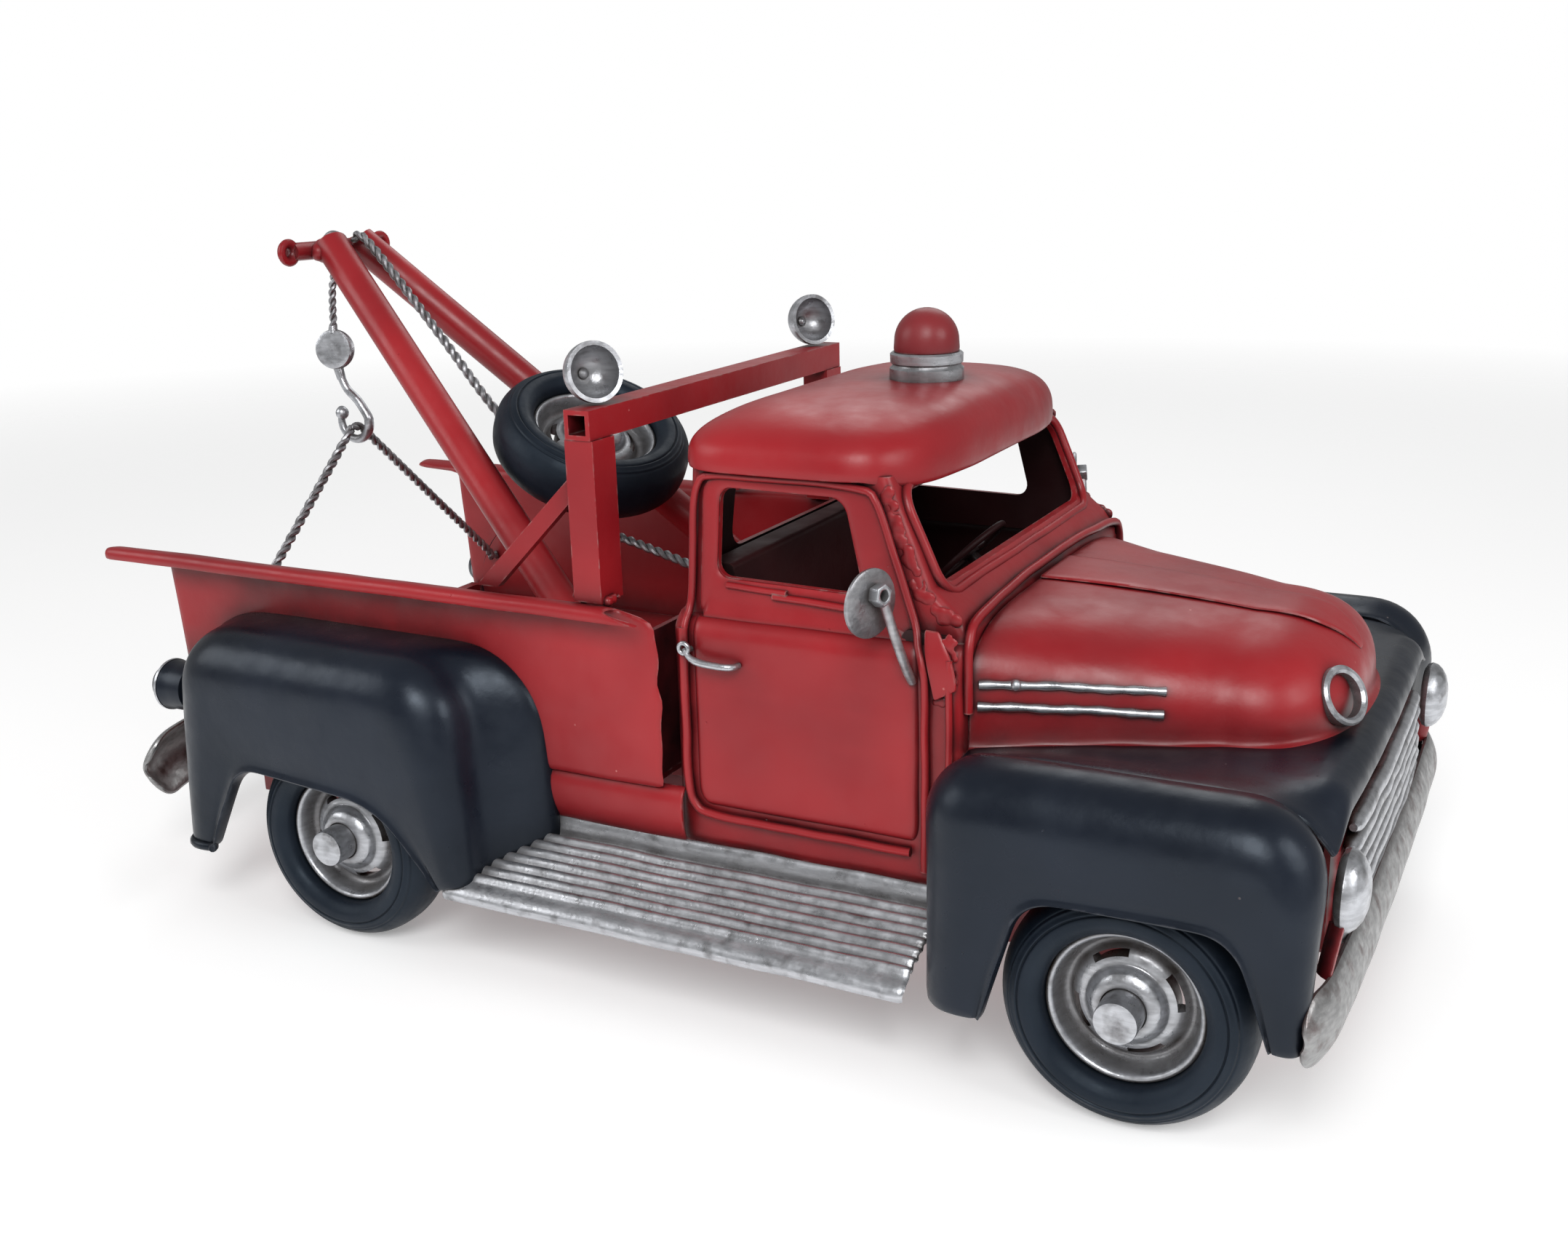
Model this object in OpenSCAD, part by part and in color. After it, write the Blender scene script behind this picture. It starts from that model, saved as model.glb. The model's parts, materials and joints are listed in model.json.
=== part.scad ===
// Toy tow truck of soldered sheet metal: pickup cab and bed, pontoon fenders, a fixed crane with a
// hanging hook, and two wheelsets that roll. +X is the truck's front, +Y its left, Z = 0 the ground.

/* [Wheels] */
// Distance between the front and rear axles
wheelbase = 180; // [178:1:182]
// Outside radius of the tyres, which is also the height of the axles
tyre_r = 23.5; // [23:0.25:24]
// Width of a tyre
tyre_w = 15; // [14:0.5:15.5]
// Outside radius of a rim, where the tyre sits
rim_r = 14.8; // [14.2:0.2:15.4]
// Radius of the axle rods
axle_r = 4.1; // [3.8:0.1:4.2]
// Distance from the truck's middle plane to the middle of a tyre
track_half = 63.5; // [63:0.5:64]
// Radial running clearance of the axles in the chassis
running_gap = 0.05; // [0.03:0.01:0.08]

/* [Body] */
// Thickness of the sheet metal
sheet = 1.2; // [1:0.1:1.3]
// Half the width over the fenders
fender_y = 76; // [76:0.5:77]
// Half the width of the cab at its doors
cab_y = 52; // [51.5:0.5:52]
// Half the width of the bed over its sides
bed_y = 54.2; // [54:0.1:54.2]
// Height of the cab floor and of the chassis channel's top
floor_z = 38; // [37.5:0.5:38]
// Height of the crease below the side windows
belt_z = 81; // [80:0.5:82]
// Height of the roof's lower edge
roof_z = 111; // [110.5:0.5:112]
// Height of the bed rails' top
rail_z = 83; // [82:0.5:84]

/* [Crane] */
// Radius of the two boom tubes
boom_r = 4.15; // [3.8:0.05:4.2]
// Side of the square crossbeam
beam_w = 6; // [5:0.5:6]
// Radius of the plain wires
wire_r = 1.1; // [1:0.05:1.15]

/* [Hidden] */
$fn = 48;
hull_fn = 28;

right = -1;
left = 1;
touch = 0.05;

enamel = "firebrick";
black = "#252c38";
silver = "silver";

front_x = 111;
rear_x = front_x - wheelbase;
chassis_y = 35;
pan_z = 14;
bed_floor_z = 44;
bed_rear_x = -124;
bed_front_x = 6;
cab_rear_x = 9.5;
cowl_x = 73.5;
cowl_z = 84;
sill_z = 32;
screen_foot = [66.8, 0, 89];
screen_tilt = 24;
deck_tilt = -2.8;
deck_foot = [cowl_x, 0, 60.5];
fender_corner = 10;
fender_bottom = 18;

boom_foot = [2, 44.6, 46];
boom_tip = [-112.3, 5.2, 150.3];
head_pin = [-116, 0, 149.1];
head_pin_r = 2.2;
hook_bottom_z = 100.6;
sling_x = -115;
sling_z = 57;
sling_apex_z = 103.4;
spare_centre = [-40.7, 0, 105.2];
spare_lean = [11.5, 26.5, 0];

// ---------- helpers ----------

function unit(v) = v / norm(v);

// Points of one rounded corner at P, between its neighbours A and B
function corner(A, P, B, r, n = 5) =
    r == 0 ? [P] :
    let (u = unit(A - P), v = unit(B - P), half = acos(max(-1, min(1, u * v))) / 2)
    let (centre = P + unit(u + v) * r / sin(half), reach = r / tan(half))
    let (s = P + u * reach - centre, e = P + v * reach - centre)
    let (a = atan2(s[1], s[0]), sweep = (atan2(e[1], e[0]) - a + 540) % 360 - 180)
    [for (i = [0:n]) centre + r * [cos(a + sweep * i / n), sin(a + sweep * i / n)]];

// Outline through points [x, y, corner radius]
function rounded(pts) = let (c = len(pts)) [
    for (i = [0:c - 1])
        let (A = pts[(i + c - 1) % c], P = pts[i], B = pts[(i + 1) % c])
        each corner([A[0], A[1]], [P[0], P[1]], [B[0], B[1]], P[2])
];

// Extrude an (x, z) outline from y0 to y1
module along_y(y0, y1) {
    translate([0, y1, 0]) rotate([90, 0, 0]) linear_extrude(y1 - y0) children();
}

// Extrude a (y, z) outline from x0 to x1
module along_x(x0, x1) {
    translate([x0, 0, 0]) rotate([90, 0, 90]) linear_extrude(x1 - x0) children();
}

// Children are drawn for the right (-Y) side and mirrored for the left
module on_side(side) {
    mirror([0, side == left ? 1 : 0, 0]) children();
}

module both_sides() {
    for (side = [right, left]) on_side(side) children();
}

module block(low, high) {
    translate(low) cube(high - low);
}

// Round rod between two points
module rod(a, b, r) {
    d = b - a;
    translate(a) rotate([0, acos(d[2] / norm(d)), atan2(d[1], d[0])]) cylinder(h = norm(d), r = r);
}

// Bent wire through a list of points; each bend swells slightly, as a kinked wire does
module wire(pts, r) {
    bend_swell = 0.12;
    for (i = [0:len(pts) - 2]) rod(pts[i], pts[i + 1], r);
    for (i = [1:len(pts) - 2]) translate(pts[i]) sphere(r + bend_swell);
}

// Revolved arc about a vertical axis: a (radius, z) outline bowed in plan, its crest at x = crest
module bowed(crest, radius, half_w) {
    sweep = asin(half_w / radius);
    steps = 12;
    translate([crest - radius, 0, 0]) rotate([0, 0, -sweep])
        rotate_extrude(angle = 2 * sweep, $fn = ceil(steps * 180 / sweep)) children();
}

// Wheel parts are drawn about Z with the outer face up, then placed at an axle
module at_wheel(x, side) {
    translate([x, side * track_half, tyre_r]) rotate([-90 * side, 0, 0]) children();
}

module at_spare() {
    translate(spare_centre) rotate(spare_lean) children();
}

// ---------- running gear ----------

module chassis_frame() {
    front_tab = [147.2, 25, 30];
    rear_tab = [-144, 27, 33];
    web = [
        [rear_tab[0], rear_tab[1]], [-126, rear_tab[1]], [-126, pan_z], [134, pan_z],
        [134, front_tab[1]], [front_tab[0], front_tab[1]], [front_tab[0], front_tab[2]],
        [134, front_tab[2]], [134, floor_z - touch], [-126, floor_z - touch],
        [-126, rear_tab[2]], [rear_tab[0], rear_tab[2]]
    ];
    color("#3a3d42") difference() {
        union() {
            block([-126, -chassis_y, pan_z], [134, chassis_y, pan_z + sheet]);
            both_sides() along_y(-chassis_y, -chassis_y + sheet) polygon(web);
        }
        for (x = [front_x, rear_x]) translate([x, -chassis_y - 1, tyre_r]) rotate([-90, 0, 0])
            cylinder(h = 2 * chassis_y + 2, r = axle_r + running_gap);
    }
}

// Axle rod whose chamfered ends stand proud of the rims as the hubs
module axle(x) {
    half = track_half + 10.3;
    chamfer = 0.5;
    color(silver) translate([x, 0, tyre_r]) rotate([-90, 0, 0]) rotate_extrude() polygon([
        [0, -half], [axle_r - chamfer, -half], [axle_r, -half + chamfer],
        [axle_r, half - chamfer], [axle_r - chamfer, half], [0, half]
    ]);
}

module tyre() {
    seat = 5.2;
    color(black) rotate_extrude() polygon(rounded([
        [rim_r, -seat, 0], [rim_r + 2, -tyre_w / 2, 2], [tyre_r, -tyre_w / 2, 5],
        [tyre_r, tyre_w / 2, 5], [rim_r + 2, tyre_w / 2, 2], [rim_r, seat, 0]
    ]));
}

// Dished rim: lip, deep well, stepped disc with four arc slots and a boss round the hub
module rim(hub_r = axle_r) {
    lip_z = 3.6;
    slot_out = rim_r - 4.9;
    slot_in = slot_out - 1.3;
    color(silver) difference() {
        rotate_extrude() polygon([
            [rim_r, -5.2], [rim_r, lip_z], [rim_r - 1.2, lip_z], [rim_r - 2.2, -0.4],
            [slot_out + 0.8, -0.4], [slot_out, 1.2], [7.4, 1.8], [6.4, 3.8], [hub_r, 4.6],
            [hub_r, -1.6], [rim_r - 1, -1.6], [rim_r - 1, -5.2]
        ]);
        for (a = [45:90:315]) rotate([0, 0, a]) intersection() {
            translate([0, 0, -3]) difference() {
                cylinder(h = 8, r = slot_out - 0.2);
                translate([0, 0, -1]) cylinder(h = 10, r = slot_in);
            }
            translate([0, 0, -4]) linear_extrude(10) polygon([[0, 0], [20, -9], [20, 9]]);
        }
    }
}

module front_axle() { axle(front_x); }
module rear_axle() { axle(rear_x); }
module front_tyre_right() { at_wheel(front_x, right) tyre(); }
module front_tyre_left() { at_wheel(front_x, left) tyre(); }
module rear_tyre_right() { at_wheel(rear_x, right) tyre(); }
module rear_tyre_left() { at_wheel(rear_x, left) tyre(); }
module front_rim_right() { at_wheel(front_x, right) rim(); }
module front_rim_left() { at_wheel(front_x, left) rim(); }
module rear_rim_right() { at_wheel(rear_x, right) rim(); }
module rear_rim_left() { at_wheel(rear_x, left) rim(); }
module spare_tyre() { at_spare() tyre(); }
module spare_rim() { at_spare() rim(); }

// ---------- cab ----------

// Side window, with its rounded corners, as an (x, z) outline
module window_outline() {
    polygon(rounded([[19.8, 88.9, 2.5], [52.4, 88.9, 2.5], [48.2, 107.2, 3.5], [20.6, 107.2, 2.5]]));
}

module cab_shell() {
    side_view = rounded([
        [cab_rear_x, sill_z, 0], [cowl_x, sill_z, 0], [cowl_x, cowl_z, 2], [screen_foot[0], 89, 0],
        [57, roof_z, 0], [12.5, roof_z, 0], [cab_rear_x, belt_z, 4]
    ]);
    inner_side = [
        [cab_rear_x + sheet, floor_z + sheet], [cowl_x - sheet, floor_z + sheet],
        [cowl_x - sheet, cowl_z - sheet], [screen_foot[0] - 1.6, 88], [55.2, roof_z + 1],
        [12.5 + sheet, roof_z + 1], [cab_rear_x + sheet, belt_z]
    ];
    top_y = cab_y - 2.2;
    color(enamel) difference() {
        intersection() {
            along_y(-cab_y, cab_y) polygon(side_view);
            along_x(0, 80) polygon([
                [-cab_y, sill_z], [cab_y, sill_z], [cab_y, belt_z], [top_y, roof_z],
                [-top_y, roof_z], [-cab_y, belt_z]
            ]);
        }
        intersection() {
            along_y(-cab_y, cab_y) polygon(inner_side);
            along_x(0, 80) polygon([
                [-cab_y + sheet, floor_z], [cab_y - sheet, floor_z], [cab_y - sheet, belt_z],
                [top_y - sheet, roof_z + 1], [-top_y + sheet, roof_z + 1], [-cab_y + sheet, belt_z]
            ]);
        }
        block([cab_rear_x + sheet, -cab_y + sheet, sill_z - 1], [cowl_x - sheet, cab_y - sheet, floor_z]);
        block([0, -chassis_y - touch, sill_z - 1], [80, chassis_y + touch, floor_z]);
        along_y(-cab_y - 1, cab_y + 1) window_outline();
        along_x(54, 80) polygon(rounded([
            [-42.6, 90.6, 3], [42.6, 90.6, 3], [43.4, 108, 3], [-43.4, 108, 3]
        ]));
        along_x(0, 20) polygon(rounded([[-30, 90, 4], [30, 90, 4], [28, 105, 4], [-28, 105, 4]]));
    }
}

// Pillow roof with a visor that bows forward over the windscreen
module roof_form(inset) {
    r = 12 - inset;
    difference() {
        hull($fn = hull_fn) {
            for (y = [-38.3, 38.3]) {
                translate([24.3, y, roof_z]) sphere(r);
                translate([47.5, y, roof_z]) sphere(r);
            }
            for (y = [-16, 16]) translate([51.5, y, roof_z]) sphere(r);
            translate([40, 0, roof_z]) cylinder(h = r + 0.4, r = 16);
        }
        block([0, -60, 90], [80, 60, roof_z + touch]);
    }
}

module cab_roof() {
    color(enamel) difference() {
        roof_form(0);
        translate([0, 0, -touch]) roof_form(sheet);
    }
}

module cab_beads() {
    bead_r = 0.8;
    bead_y = cab_y + bead_r + touch;
    front_bead_z = 34.6;
    color(enamel) {
        translate(screen_foot) rotate([0, -screen_tilt, 0]) along_x(touch, sheet) difference() {
            polygon(rounded([[-44.6, 0.4, 4], [44.6, 0.4, 4], [45.2, 22.4, 4], [-45.2, 22.4, 4]]));
            polygon(rounded([[-42.6, 2.2, 3], [42.6, 2.2, 3], [43.3, 20.6, 3], [-43.3, 20.6, 3]]));
        }
        rod([cowl_x, -47, cowl_z + 1.35], [cowl_x, 47, cowl_z + 1.35], bead_r);
        both_sides() {
            rod([18, -51.2, roof_z + 1], [55.5, -51.2, roof_z + 0.2], bead_r);
            rod([15.5, -bead_y, 39.4], [64, -bead_y, 39.4], bead_r);
            rod([66.6, -bead_y, front_bead_z], [66.6, -bead_y, belt_z], bead_r);
            rod([14.3, -bead_y, 42], [14.3, -bead_y, belt_z], bead_r);
        }
    }
}

// Door skin: a flat lower panel and a window frame that leans in above the belt
module door(side) {
    skin = 0.8;
    lean = 4.2;
    lower = rounded([
        [15.2, 40.3, 3], [65.6, 40.3, 2], [65.6, belt_z + 0.6, 0], [15.2, belt_z + 0.6, 0]
    ]);
    frame = rounded([
        [16.2, belt_z - 0.4, 0], [65.4, belt_z - 0.4, 0], [55.6, 109.6, 4], [18.2, 110, 3]
    ]);
    color(enamel) on_side(side) {
        along_y(-cab_y - touch - skin, -cab_y - touch) polygon(lower);
        translate([0, -cab_y - touch, belt_z]) rotate([-lean, 0, 0]) translate([0, 0, -belt_z])
            along_y(-skin, 0) difference() {
                polygon(frame);
                window_outline();
            }
    }
}

module door_right() { door(right); }
module door_left() { door(left); }

module door_handles() {
    y = -cab_y - 3.4;
    skin_y = -cab_y - 0.9;
    color(silver) both_sides() {
        wire([[16, skin_y, 73.6], [16, y, 73.6], [25.6, y, 72.6], [25.6, skin_y, 72.6]], 0.8);
        translate([16, y, 75.8]) rotate([90, 0, 0]) difference() {
            cylinder(h = 1.1, r = 2.1, center = true);
            cylinder(h = 3, r = 1, center = true);
        }
    }
}

module mirror_arms() {
    color(silver) both_sides() rod([64, -cab_y - 1.9, 73], [61.4, -59.2, 90.4], 0.9);
}

module mirror_nuts() {
    color(silver) both_sides() translate([61, -60, 92.4]) rotate([0, -90, 0]) difference() {
        translate([0, 0, -1]) cylinder(h = 2.2, r = 2.1, $fn = 6);
        translate([0, 0, -2]) cylinder(h = 5, r = 1);
    }
}

module mirror_discs() {
    color(silver) both_sides() translate([58.9, -60.4, 90.8]) rotate([0, -90, 0])
        cylinder(h = 0.9, r = 6.15);
}

module dashboard() {
    color("#4a1518") along_y(-cab_y + sheet + 0.4, cab_y - sheet - 0.4) polygon(rounded([
        [60, 75, 1], [70.5, 75, 0], [70.5, 82.5, 0], [61, 83.5, 2]
    ]));
}

// Seat and back folded from one sheet, open underneath
module bench_seat() {
    color("#2a1214") along_y(-45, 45) polygon(rounded([
        [47, floor_z + sheet, 0], [47, 57, 3], [26.5, 60, 2], [21.5, 91, 1.2], [15, 91, 1], [15, 88.6, 1],
        [19.4, 88.6, 1], [24.4, 57.8, 2], [44.6, 54.9, 1], [44.6, floor_z + sheet, 0]
    ]));
}

// Ring, cross bar, hub and column of a left-hand-drive steering wheel
module steering_wheel() {
    ring_r = 10;
    color("#1c2230") intersection() {
        translate([46.5, 22, 80]) rotate([0, 135, 0]) {
            rotate_extrude() translate([ring_r, 0]) circle(0.8);
            rod([0, -ring_r, 0], [0, ring_r, 0], 0.7);
            cylinder(h = 1.6, r = 2.2, center = true);
            cylinder(h = 60, r = 1.5);
        }
        block([30, 0, 50], [cowl_x - sheet - touch, 40, 100]);
    }
}

// ---------- hood and front end ----------

// Half-space above the tilted deck plane, raised by lift
module above_deck(lift) {
    translate(deck_foot) rotate([0, deck_tilt, 0]) block([-20, -70, lift], [100, 70, 60]);
}

// Broad flat-topped hood that rounds down to a blunt nose
module hood_form(inset) {
    nose_r = 14 - inset;
    side_r = 9 - inset;
    intersection() {
        hull($fn = hull_fn) {
            for (y = [-39, 39]) translate([cowl_x, y, cowl_z - 8.6]) rotate([0, 90, 0])
                cylinder(h = 1, r = side_r);
            block([cowl_x, -48 + inset, 50], [cowl_x + 1, 48 - inset, 76]);
            for (y = [-16, 16]) {
                translate([127, y, 66]) sphere(nose_r);
                translate([127, y, 50]) cylinder(h = 16, r = nose_r);
            }
        }
        above_deck(sheet + touch);
    }
}

module hood_shell() {
    color(enamel) difference() {
        translate([touch, 0, 0]) hood_form(0);
        translate([-touch, 0, 0]) hood_form(sheet);
    }
}

// Raised strip down the middle of the hood, bounded by its two seams
module hood_centre_panel() {
    color(enamel) difference() {
        intersection() {
            translate([touch, 0, 0.6]) hood_form(0);
            translate([0, 0, 74]) linear_extrude(20) polygon([
                [cowl_x + 1, -9.5], [136, -5.5], [136, 5.5], [cowl_x + 1, 9.5]
            ]);
        }
        translate([touch, 0, touch]) hood_form(0);
    }
}

// Plain round badge, set on the right-hand corner of the nose
module nose_badge() {
    face_tilt = 19;
    face_turn = -24.5;
    color(silver) translate([127 + touch, -16, 66]) rotate([0, 90 - face_tilt, face_turn])
        translate([0, 0, 14 + touch]) difference() {
            cylinder(h = 1.2, r = 5.6);
            translate([0, 0, 0.6]) cylinder(h = 2, r = 4.6);
        }
}

module hood_trims() {
    trim_r = 0.8;
    color(silver) both_sides() for (z = [73.2, 69])
        rod([75.5, -49, z], [110.5, -37.2, z], trim_r);
}

// Black deck between the hood and the two fender crowns
module front_deck() {
    inner = 48.5;
    outer = 58.6;
    rise = 3.2;
    color(black) translate(deck_foot) rotate([0, deck_tilt, 0]) along_x(0.3, 70.4) polygon([
        [-inner, 0], [inner, 0], [outer, rise], [outer, rise + sheet], [inner, sheet],
        [-inner, sheet], [-outer, rise + sheet], [-outer, rise]
    ]);
}

// Pontoon fender solid between two outer and two inner upright capsules.
// spans = [outer rear, outer front, inner rear, inner front] capsule x, crown = its flat top height
module pontoon(spans, crown, inset) {
    r = fender_corner - inset;
    y = [66, 66, 50, 50];
    hull($fn = hull_fn) for (i = [0:3]) translate([spans[i], -y[i], 0]) {
        translate([0, 0, crown - fender_corner]) sphere(r);
        cylinder(h = crown - fender_corner, r = r);
    }
}

module fender(spans, crown, inner_y, arch) {
    difference() {
        pontoon(spans, crown, 0);
        pontoon(spans, crown, sheet);
        block([-200, -inner_y, -1], [200, 0, 100]);
        block([-200, -100, -1], [200, 0, fender_bottom]);
        along_y(-fender_y - 1, 0) polygon(rounded(arch));
    }
}

module front_fender(side) {
    arch = [[86.5, 10, 0], [91, 37, 9], [101, 44, 8], [121, 44, 8], [132, 36, 9], [135, 10, 0]];
    color(black) on_side(side) fender([82, 134, 82, 134], 67.2, 58.7, arch);
}

module rear_fender(side) {
    arch = [[-96, 10, 0], [-93, 36, 9], [-84, 43.5, 8], [-54, 43.5, 8], [-44, 36, 9], [-41, 10, 0]];
    color(black) on_side(side) fender([-96.5, -43.5, -114, -30], 71.2, bed_y + touch, arch);
}

module front_fender_right() { front_fender(right); }
module front_fender_left() { front_fender(left); }
module rear_fender_right() { rear_fender(right); }
module rear_fender_left() { rear_fender(left); }

// The two bumpers' outermost faces are this far from the middle of the truck's length
bumper_x = 149.2;
grille_radius = 1500;
grille_crest = 146;
bar_r = 1.6;

module grille_panel() {
    back = grille_radius - 2 * bar_r - touch;
    color(enamel) bowed(grille_crest, grille_radius, 52)
        translate([back - sheet, 34]) square([sheet, 25]);
}

module grille_bars() {
    color(silver) for (i = [0:4]) bowed(grille_crest, grille_radius, 46 - 1.5 * i)
        translate([grille_radius - bar_r, 36.4 + 4.2 * i]) circle(bar_r);
}

// Crescent bumper blade section of half height h, its crest at radius r
module blade(r, h, bulge) {
    steps = 8;
    polygon([
        for (i = [-steps:steps]) [r - bulge * pow(i / steps, 2), h * i / steps],
        for (i = [steps:-1:-steps]) [r - bulge * pow(i / steps, 2) - sheet, h * i / steps]
    ]);
}

module front_bumper() {
    radius = 2600;
    color(silver) translate([0, 0, 27.5]) bowed(bumper_x, radius, 76) blade(radius, 6.5, 2.2);
}

module rear_bumper() {
    radius = 190;
    color(silver) mirror([1, 0, 0]) translate([0, 0, 30]) bowed(bumper_x, radius, 60) blade(radius, 7.5, 4);
}

// Domed lamp about Z, its flat back at z = 0
module lamp(r, depth) {
    steps = 10;
    rotate_extrude() polygon(concat(
        [[0, 0]], [for (i = [0:steps]) [r * cos(90 * i / steps), depth * sin(90 * i / steps)]]
    ));
}

module headlights() {
    color(silver) both_sides() translate([144 + touch, -55.5, 48]) rotate([0, 90, 0]) lamp(7.3, 5.1);
}

module tail_lamps() {
    color(black) both_sides() translate([-117, -60.5, 51]) rotate([0, -90, 0]) {
        cylinder(h = 8, r = 6);
        translate([0, 0, 8]) lamp(6, 4);
    }
}

// ---------- running boards and bed ----------

// Ribbed step: rounded ribs run along its sloping top, with a turned-down outer lip
module running_board(side) {
    ribs = 6;
    outer = [75.4, 21.4];
    inner = [58, 28];
    flange_z = 24;
    steps = 8 * ribs;
    slope = (inner - outer) / steps;
    top = [for (i = [0:steps]) outer + slope * i + [0, 0.7 * abs(sin(180 * i / 8))]];
    bottom = [for (i = [steps:-1:0]) outer + slope * i - [0, 1.1]];
    section = concat(
        [[fender_y, 20.8]], top, [[56.2, 29.6], [55, 29.6], [55, flange_z], [chassis_y + touch, flange_z],
        [chassis_y + touch, flange_z - 1], [56, flange_z - 1], [56, 28], [56.8, 28]],
        bottom, [[74.8, 18.8], [fender_y, 18.8]]
    );
    color(silver) on_side(side) intersection() {
        along_x(-40, 71.6) mirror([1, 0, 0]) polygon(section);
        translate([0, 0, 10]) linear_extrude(30) polygon([
            [71.6, 0], [71.6, -80], [-36, -80], [-36, -73.4], [-22.1, -59.2], [-19.6, -55], [-19.6, 0]
        ]);
    }
}

module running_board_right() { running_board(right); }
module running_board_left() { running_board(left); }

module bed_floor() {
    color(enamel) {
        block([bed_rear_x, -bed_y + sheet + touch, bed_floor_z],
            [bed_front_x, bed_y - sheet - touch, bed_floor_z + sheet]);
        both_sides() block([bed_rear_x, -chassis_y, floor_z],
            [bed_front_x, -chassis_y + sheet, bed_floor_z]);
    }
}

// Side sheet with the rail folded out along its top and a bore for the sling wire's end
module bed_side(side) {
    rail_y = 60.6;
    rail_rear_x = -143;
    lip = 2.8;
    panel = rounded([
        [bed_rear_x, 43.5, 0], [bed_front_x, 43.5, 0], [bed_front_x, 77, 2], [-1, rail_z - sheet, 0],
        [rail_rear_x + 14, rail_z - sheet, 0], [bed_rear_x, 76, 3]
    ]);
    color(enamel) on_side(side) difference() {
        union() {
            along_y(-bed_y, -bed_y + sheet) polygon(panel);
            block([rail_rear_x, -rail_y, rail_z - sheet], [-0.5, -bed_y + sheet, rail_z]);
            block([rail_rear_x, -rail_y, rail_z - lip], [-0.5, -rail_y + sheet, rail_z]);
        }
        translate([sling_x, -bed_y - 1, sling_z]) rotate([-90, 0, 0])
            cylinder(h = 4, r = wire_r + running_gap);
    }
}

module bed_side_right() { bed_side(right); }
module bed_side_left() { bed_side(left); }

module bed_front_wall() {
    color(enamel) block([bed_front_x - sheet, -bed_y + sheet + touch, bed_floor_z + sheet + touch],
        [bed_front_x, bed_y - sheet - touch, 77]);
}

// Low bar across the open rear end of the bed
module bed_rear_sill() {
    y = bed_y - sheet - touch;
    base_z = bed_floor_z + sheet + touch;
    color(enamel) block([bed_rear_x, -y, base_z], [bed_rear_x + 3, y, base_z + 2.6]);
}

// ---------- crane ----------

post_x = -6;
post_y = 53;
post_half = [3.35, 4];
beam_top = 122.5;

module crane_posts() {
    color(enamel) both_sides() block(
        [post_x - post_half[0], -post_y - post_half[1], rail_z + touch],
        [post_x + post_half[0], -post_y + post_half[1], beam_top - beam_w - touch]);
}

// Square tube with open ends
module crossbeam() {
    half = 57.2;
    hollow = beam_w / 2 - 1;
    color(enamel) difference() {
        block([post_x - beam_w / 2, -half, beam_top - beam_w], [post_x + beam_w / 2, half, beam_top]);
        block([post_x - hollow, -half - 1, beam_top - beam_w + 1], [post_x + hollow, half + 1, beam_top - 1]);
    }
}

// Flat bars that prop the posts from the rails
module crane_braces() {
    bar = 2.2;
    color(enamel) both_sides() along_y(-post_y - bar / 2, -post_y + bar / 2) polygon([
        [post_x - post_half[0] - touch, 104.5], [post_x - post_half[0] - touch, 109.5],
        [-36.5, rail_z + touch], [-31, rail_z + touch]
    ]);
}

// Two tubes that meet near the tip, cut square where they stand on the bed floor
module boom_tubes() {
    tip = [boom_tip[0], -boom_tip[1], boom_tip[2]];
    foot = [boom_foot[0], -boom_foot[1], boom_foot[2]];
    run = unit(foot - tip);
    color(enamel) both_sides() intersection() {
        rod(tip, foot + run * 12, boom_r);
        block([-200, -100, bed_floor_z + sheet + touch], [bed_front_x - sheet - touch, -wire_r - 0.25, 200]);
    }
}

// Cross pin with a ring at each end, soldered over the tubes' tips
module boom_head() {
    half = 13;
    color(enamel) translate(head_pin) {
        rotate([90, 0, 0]) cylinder(h = 2 * half, r = head_pin_r, center = true);
        both_sides() translate([0, -half - 2.4, 0]) rotate([0, 90, 0]) difference() {
            cylinder(h = 3, r = 3, center = true);
            cylinder(h = 5, r = 1.3, center = true);
        }
    }
}

// Cable from the boom head, down between the tubes and under the spare, to the bed's front wall
module boom_cable() {
    color("#6b6560") wire([
        [-110.4, 0, 151.4], [-105.6, 0, 151.2], [-71, 0, 112], [-40, 0, 83.2], [-26, 0, 79],
        [bed_front_x - sheet - 0.6, 0, 71]
    ], wire_r);
}

// Open bowls at the crossbeam's ends, both turned towards the truck's right
module spotlights() {
    bowl_r = 6.3;
    turn = -30;
    color(silver) for (y = [-50, 50])
        translate([post_x + 1, y, beam_top + 6.6]) rotate([0, 80, turn]) difference() {
            sphere(bowl_r);
            sphere(bowl_r - 0.9);
            translate([-10, -10, 0]) cube([20, 20, 10]);
        }
}

// ---------- beacon ----------

beacon_x = 45;
crown_z = roof_z + 12.4;
collar_h = 5.6;

module beacon_collar() {
    color(silver) translate([beacon_x, 0, crown_z + touch]) rotate_extrude() polygon([
        [0, 0], [7.9, 0], [7.9, 2.6], [7.4, 3], [7.8, 3.6], [7.8, collar_h], [0, collar_h]
    ]);
}

module beacon_dome() {
    r = 6.9;
    h = 2.2;
    color(enamel) translate([beacon_x, 0, crown_z + collar_h + 2 * touch]) rotate_extrude() polygon(concat(
        [[0, 0], [r, 0]], [for (a = [0:9:90]) [r * cos(a), h + r * sin(a)]]
    ));
}

// ---------- hook line ----------

// Wire looped round the head's pin, with running clearance, and twisted down to the pulley block
module hanging_cable() {
    loop_r = head_pin_r + wire_r + running_gap;
    color("#8a8680") {
        translate(head_pin) rotate([90, 0, 0]) rotate_extrude() translate([loop_r, 0]) circle(wire_r);
        wire([head_pin - [0, 0, loop_r], [-118.6, 0, 138], [-119.4, 0, 129.2]], wire_r);
    }
}

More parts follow.
